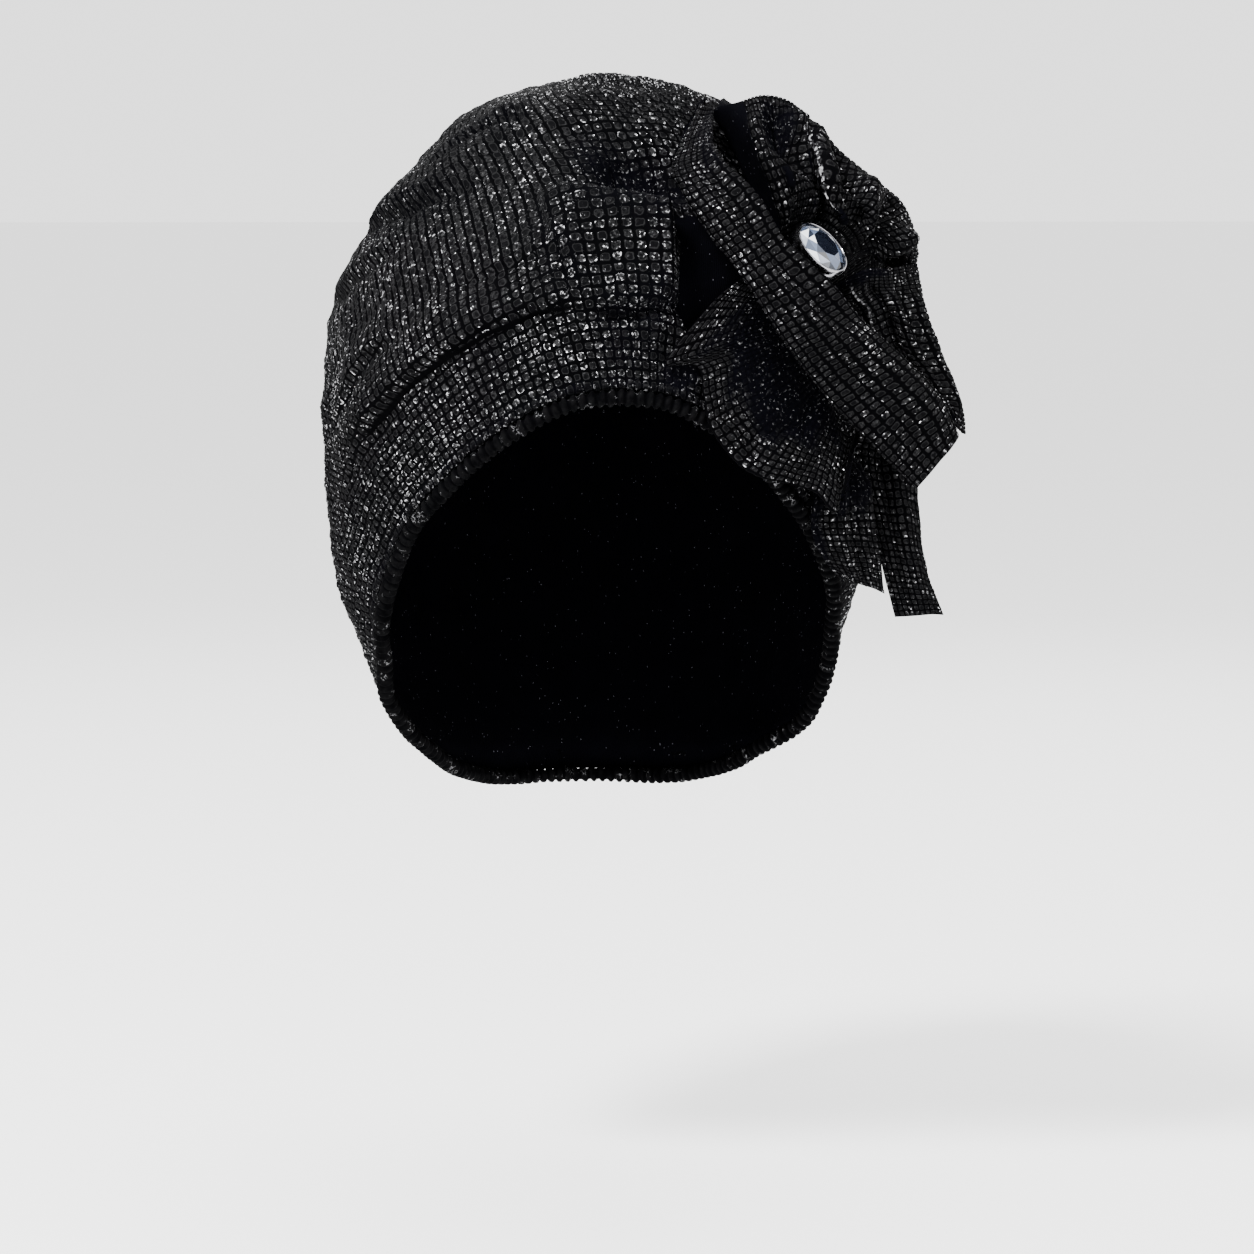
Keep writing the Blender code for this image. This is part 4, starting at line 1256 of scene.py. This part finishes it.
def makePetal(name, look, trees, waffle, jersey):
    cells = np.array(look["cells"])
    mesh, cell = clothGrid(name, cells, (3, 3))
    way, share = (cell / cells).T
    points = laidOn(petalPoints(look, way, share), trees)
    setPoints(mesh, points)
    if (meshNormals(mesh) @ outWay).mean() < 0:
        mesh.flip_normals()
    relief, marks = pleatRelief(name, way, share, cells * rosetteLook["cell"])
    keepMarks(mesh, marks)
    points = laidOn(points + meshNormals(mesh) * relief[:, None], trees)
    setPoints(mesh, points)
    plain = look.get("plain", 0)
    puffs = rosetteLook["puff"] * (puffShape(cell) * puffHeights(cell, 5) - rosetteLook["puffSink"])
    height = np.where(way < plain, 0, puffs)
    height += softNoise(points, rosetteLook["wrinkleSize"], 6) * rosetteLook["wrinkle"]
    setPoints(mesh, points + meshNormals(mesh) * height[:, None])
    petal = addPiece(name, mesh, [waffle, jersey])
    for face in mesh.polygons:
        face.material_index = int(way[face.vertices[0]] < plain - 1e-4)
    wall = petal.modifiers.new("Wall", "SOLIDIFY")
    wall.thickness = rosetteLook["wall"]
    wall.offset = -1
    wall.material_offset = 1


# The gathered core under the jewel

coreLook = {
    "pleats": 20,
    "rows": 6,
    "height": 0.012,
    "sink": 0.0005,
    "domeSink": 0.0002,
    "capShare": 0.2,  # share of the cloth's length on the top, and on the underside
    "capWidth": 0.9,
    "width": 0.95,
    "pleatDepth": 0.06,
}


def jewelFrame():  # from the jewel's own axis to the frame's
    turned = Vector(jewelLook["axis"]).to_track_quat("Z", "Y").to_matrix().to_4x4()
    return Matrix.Translation(Vector(jewelPlace)) @ turned


def jewelMesh(bm, name):  # with its faces outwards, on the jewel's axis
    bmesh.ops.recalc_face_normals(bm, faces=bm.faces)
    bm.transform(jewelFrame())
    return meshFrom(bm, name)


def makeCore(material):
    look = coreLook
    cells = np.array([look["pleats"], look["rows"]])
    mesh, cell = clothGrid("flowerCore", cells, (3, 3))
    axis = Vector(jewelAxis)
    top = Vector(jewelPlace) - axis * (jewelLook["depth"] + jewelLook["gap"])
    side = axis.orthogonal().normalized()
    other = axis.cross(side)
    radius, part = jewelLook["radius"], look["capShare"]
    points = []
    for around, down in cell / cells:
        angle = 2 * math.pi * around
        flat = side * math.cos(angle) + other * math.sin(angle)
        fall = min(1.0, max(0.0, (down - part) / (1 - 2 * part)))
        hub = top - axis * (look["sink"] + look["height"] * fall)
        if down < part:
            point = top - axis * look["domeSink"] + flat * radius * look["capWidth"] * down / part
        elif down > 1 - part:
            point = hub + flat * radius * look["capWidth"] * max(0.0, (1 - down) / part)
        else:
            pleat = 0.5 + 0.5 * math.cos(angle * look["pleats"])
            point = hub + flat * radius * (look["width"] - look["pleatDepth"] * pleat)
        points.append(point)
    setPoints(mesh, np.array(points))
    weld(mesh, 1e-5)
    bm = bmesh.new()
    bm.from_mesh(mesh)
    bmesh.ops.recalc_face_normals(bm, faces=bm.faces)
    bm.to_mesh(mesh)
    bm.free()
    core = addPiece("flower_core", mesh, [material])


def makeSetting(material):
    bm = bmesh.new()
    radius, depth, rim = jewelLook["radius"], jewelLook["depth"], jewelLook["rim"]
    profile = [
        (0, -jewelLook["sink"]),
        (radius - rim, -jewelLook["sink"]),
        (radius - rim, 0.0),
        (radius - 0.7 * rim, 0.12 * depth),
        (radius - 0.3 * rim, 0.12 * depth),
        (radius, -0.05 * depth),
        (radius, -0.8 * depth),
        (radius - 0.3 * rim, -depth),
        (0, -depth),
    ]
    verts = [bm.verts.new((r, 0, h)) for r, h in profile]
    edges = [bm.edges.new(pair) for pair in zip(verts[:-1], verts[1:])]
    full = {"angle": 2 * math.pi, "steps": jewelLook["steps"], "use_merge": True}
    bmesh.ops.spin(bm, geom=verts + edges, cent=(0, 0, 0), axis=(0, 0, 1), **full)
    bmesh.ops.remove_doubles(bm, verts=bm.verts, dist=1e-6)
    mesh = jewelMesh(bm, "stoneSetting")
    addPiece("stone_setting", mesh, [material])
    mesh.set_sharp_from_angle(angle=math.radians(jewelLook["sharp"]))


def makeStone(material):
    bm = bmesh.new()
    girdle = jewelLook["radius"] - jewelLook["rim"] - jewelLook["gap"]
    seat = jewelLook["gap"] - jewelLook["sink"]
    rings = [  # facets round, radius, height, half a facet turned
        (8, 0.56, 1.0, 0),
        (8, 0.80, 0.80, 1),
        (16, 1.0, 0.45, 0),
        (16, 1.0, 0.34, 0),
        (8, 0.60, 0.0, 0),
    ]
    for count, wide, high, half in rings:
        ring = bmesh.ops.create_circle(bm, segments=count, radius=girdle * wide)["verts"]
        turned = Matrix.Rotation(half * math.pi / count, 4, "Z")
        bmesh.ops.transform(bm, matrix=turned, verts=ring)
        bmesh.ops.translate(bm, vec=(0, 0, seat + jewelLook["stone"] * high), verts=ring)
    bmesh.ops.convex_hull(bm, input=bm.verts)
    bmesh.ops.dissolve_limit(bm, angle_limit=math.radians(1), verts=bm.verts, edges=bm.edges)
    mesh = jewelMesh(bm, "stone")
    layer = mesh.attributes.new("facetReflection", "FLOAT", "FACE")
    for face in mesh.polygons:  # a painted reflection tone for each face of the stone
        local = jewelFrame().inverted() @ face.center
        around = round((math.atan2(local.y, local.x) + math.pi) / math.pi * 8)
        layer.data[face.index].value = float(chance(around, round(local.xy.length * 2000), 2))
    addPiece("stone", mesh, [material])
    mesh.shade_flat()


# The floor, camera and lights

stageLook = {
    "floor": -0.365,
    "size": 40.0,
    "distance": 1.8,
    "turn": -5.5,
    "cameraHeight": -0.030,
    "aim": (0.01228, -0.00118, -0.179),
    "lens": 155.55,
    "paper": (0.86, 0.86, 0.86, 1),
}


def makeStage():
    bm = bmesh.new()
    bmesh.ops.create_grid(bm, x_segments=1, y_segments=1, size=stageLook["size"])
    bmesh.ops.translate(bm, vec=(0, 0, stageLook["floor"]), verts=bm.verts)
    floor = newObject("floor", meshFrom(bm, "floor"))
    paper = Finish("paper").finish({"Base Color": stageLook["paper"], "Roughness": 0.8})
    floor.data.materials.append(paper)


def makeCamera():
    camera = newObject("camera", bpy.data.cameras.new("camera"))
    around = math.radians(stageLook["turn"])
    aim = Vector(stageLook["aim"])
    back = Vector((math.sin(around), -math.cos(around), 0)) * stageLook["distance"]
    camera.location = (aim.x + back.x, aim.y + back.y, stageLook["cameraHeight"])
    camera.rotation_euler = (aim - camera.location).to_track_quat("-Z", "Y").to_euler()
    camera.data.lens = stageLook["lens"]
    camera.data.sensor_width = 36
    camera.data.clip_end = 100
    bpy.context.scene.camera = camera


lights = {  # place, size, watts
    "key": ((-1.0, -1.2, 1.5), 0.5, 150),
    "fill": ((1.5, -1.0, 0.3), 1.0, 14),
    "top": ((0.2, 0.3, 1.9), 1.4, 24),
    "back": ((0.4, 1.6, 0.9), 1.2, 16),
}
worldLight = 2.2


def makeLights():
    for name, (place, size, watts) in lights.items():
        light = bpy.data.lights.new(name, "AREA")
        light.energy = watts
        light.size = size
        lamp = newObject(name, light)
        lamp.location = place
        aim = Vector((0, 0, -0.1)) - lamp.location
        lamp.rotation_euler = aim.to_track_quat("-Z", "Y").to_euler()
    world = bpy.data.worlds.new("studio")
    world.use_nodes = True
    background = world.node_tree.nodes["Background"]
    background.inputs[0].default_value = (1, 1, 1, 1)
    background.inputs[1].default_value = worldLight
    bpy.context.scene.world = world


print("cloth and metal")
waffle = waffleMaterial("waffleKnit", 0.155)
foldWaffle = waffleMaterial("waffleFold", 0.105)
jersey = jerseyMaterial("jerseyReverse")
print("cap")
makeCap(waffle, jersey)
print("hem")
makeHem(ribMaterial("ribKnit"))
print("rosette")
trees = [nodeTree(node) for node in ("cap", "rim_roll")]
for petalName, look in petals.items():
    makePetal(petalName, look, trees, foldWaffle, jersey)
makeCore(jersey)
print("jewel")
makeSetting(silverMaterial("silverMetal"))
makeStone(stoneMaterial("clearStone"))
print("stage")
makeStage()
makeCamera()
makeLights()
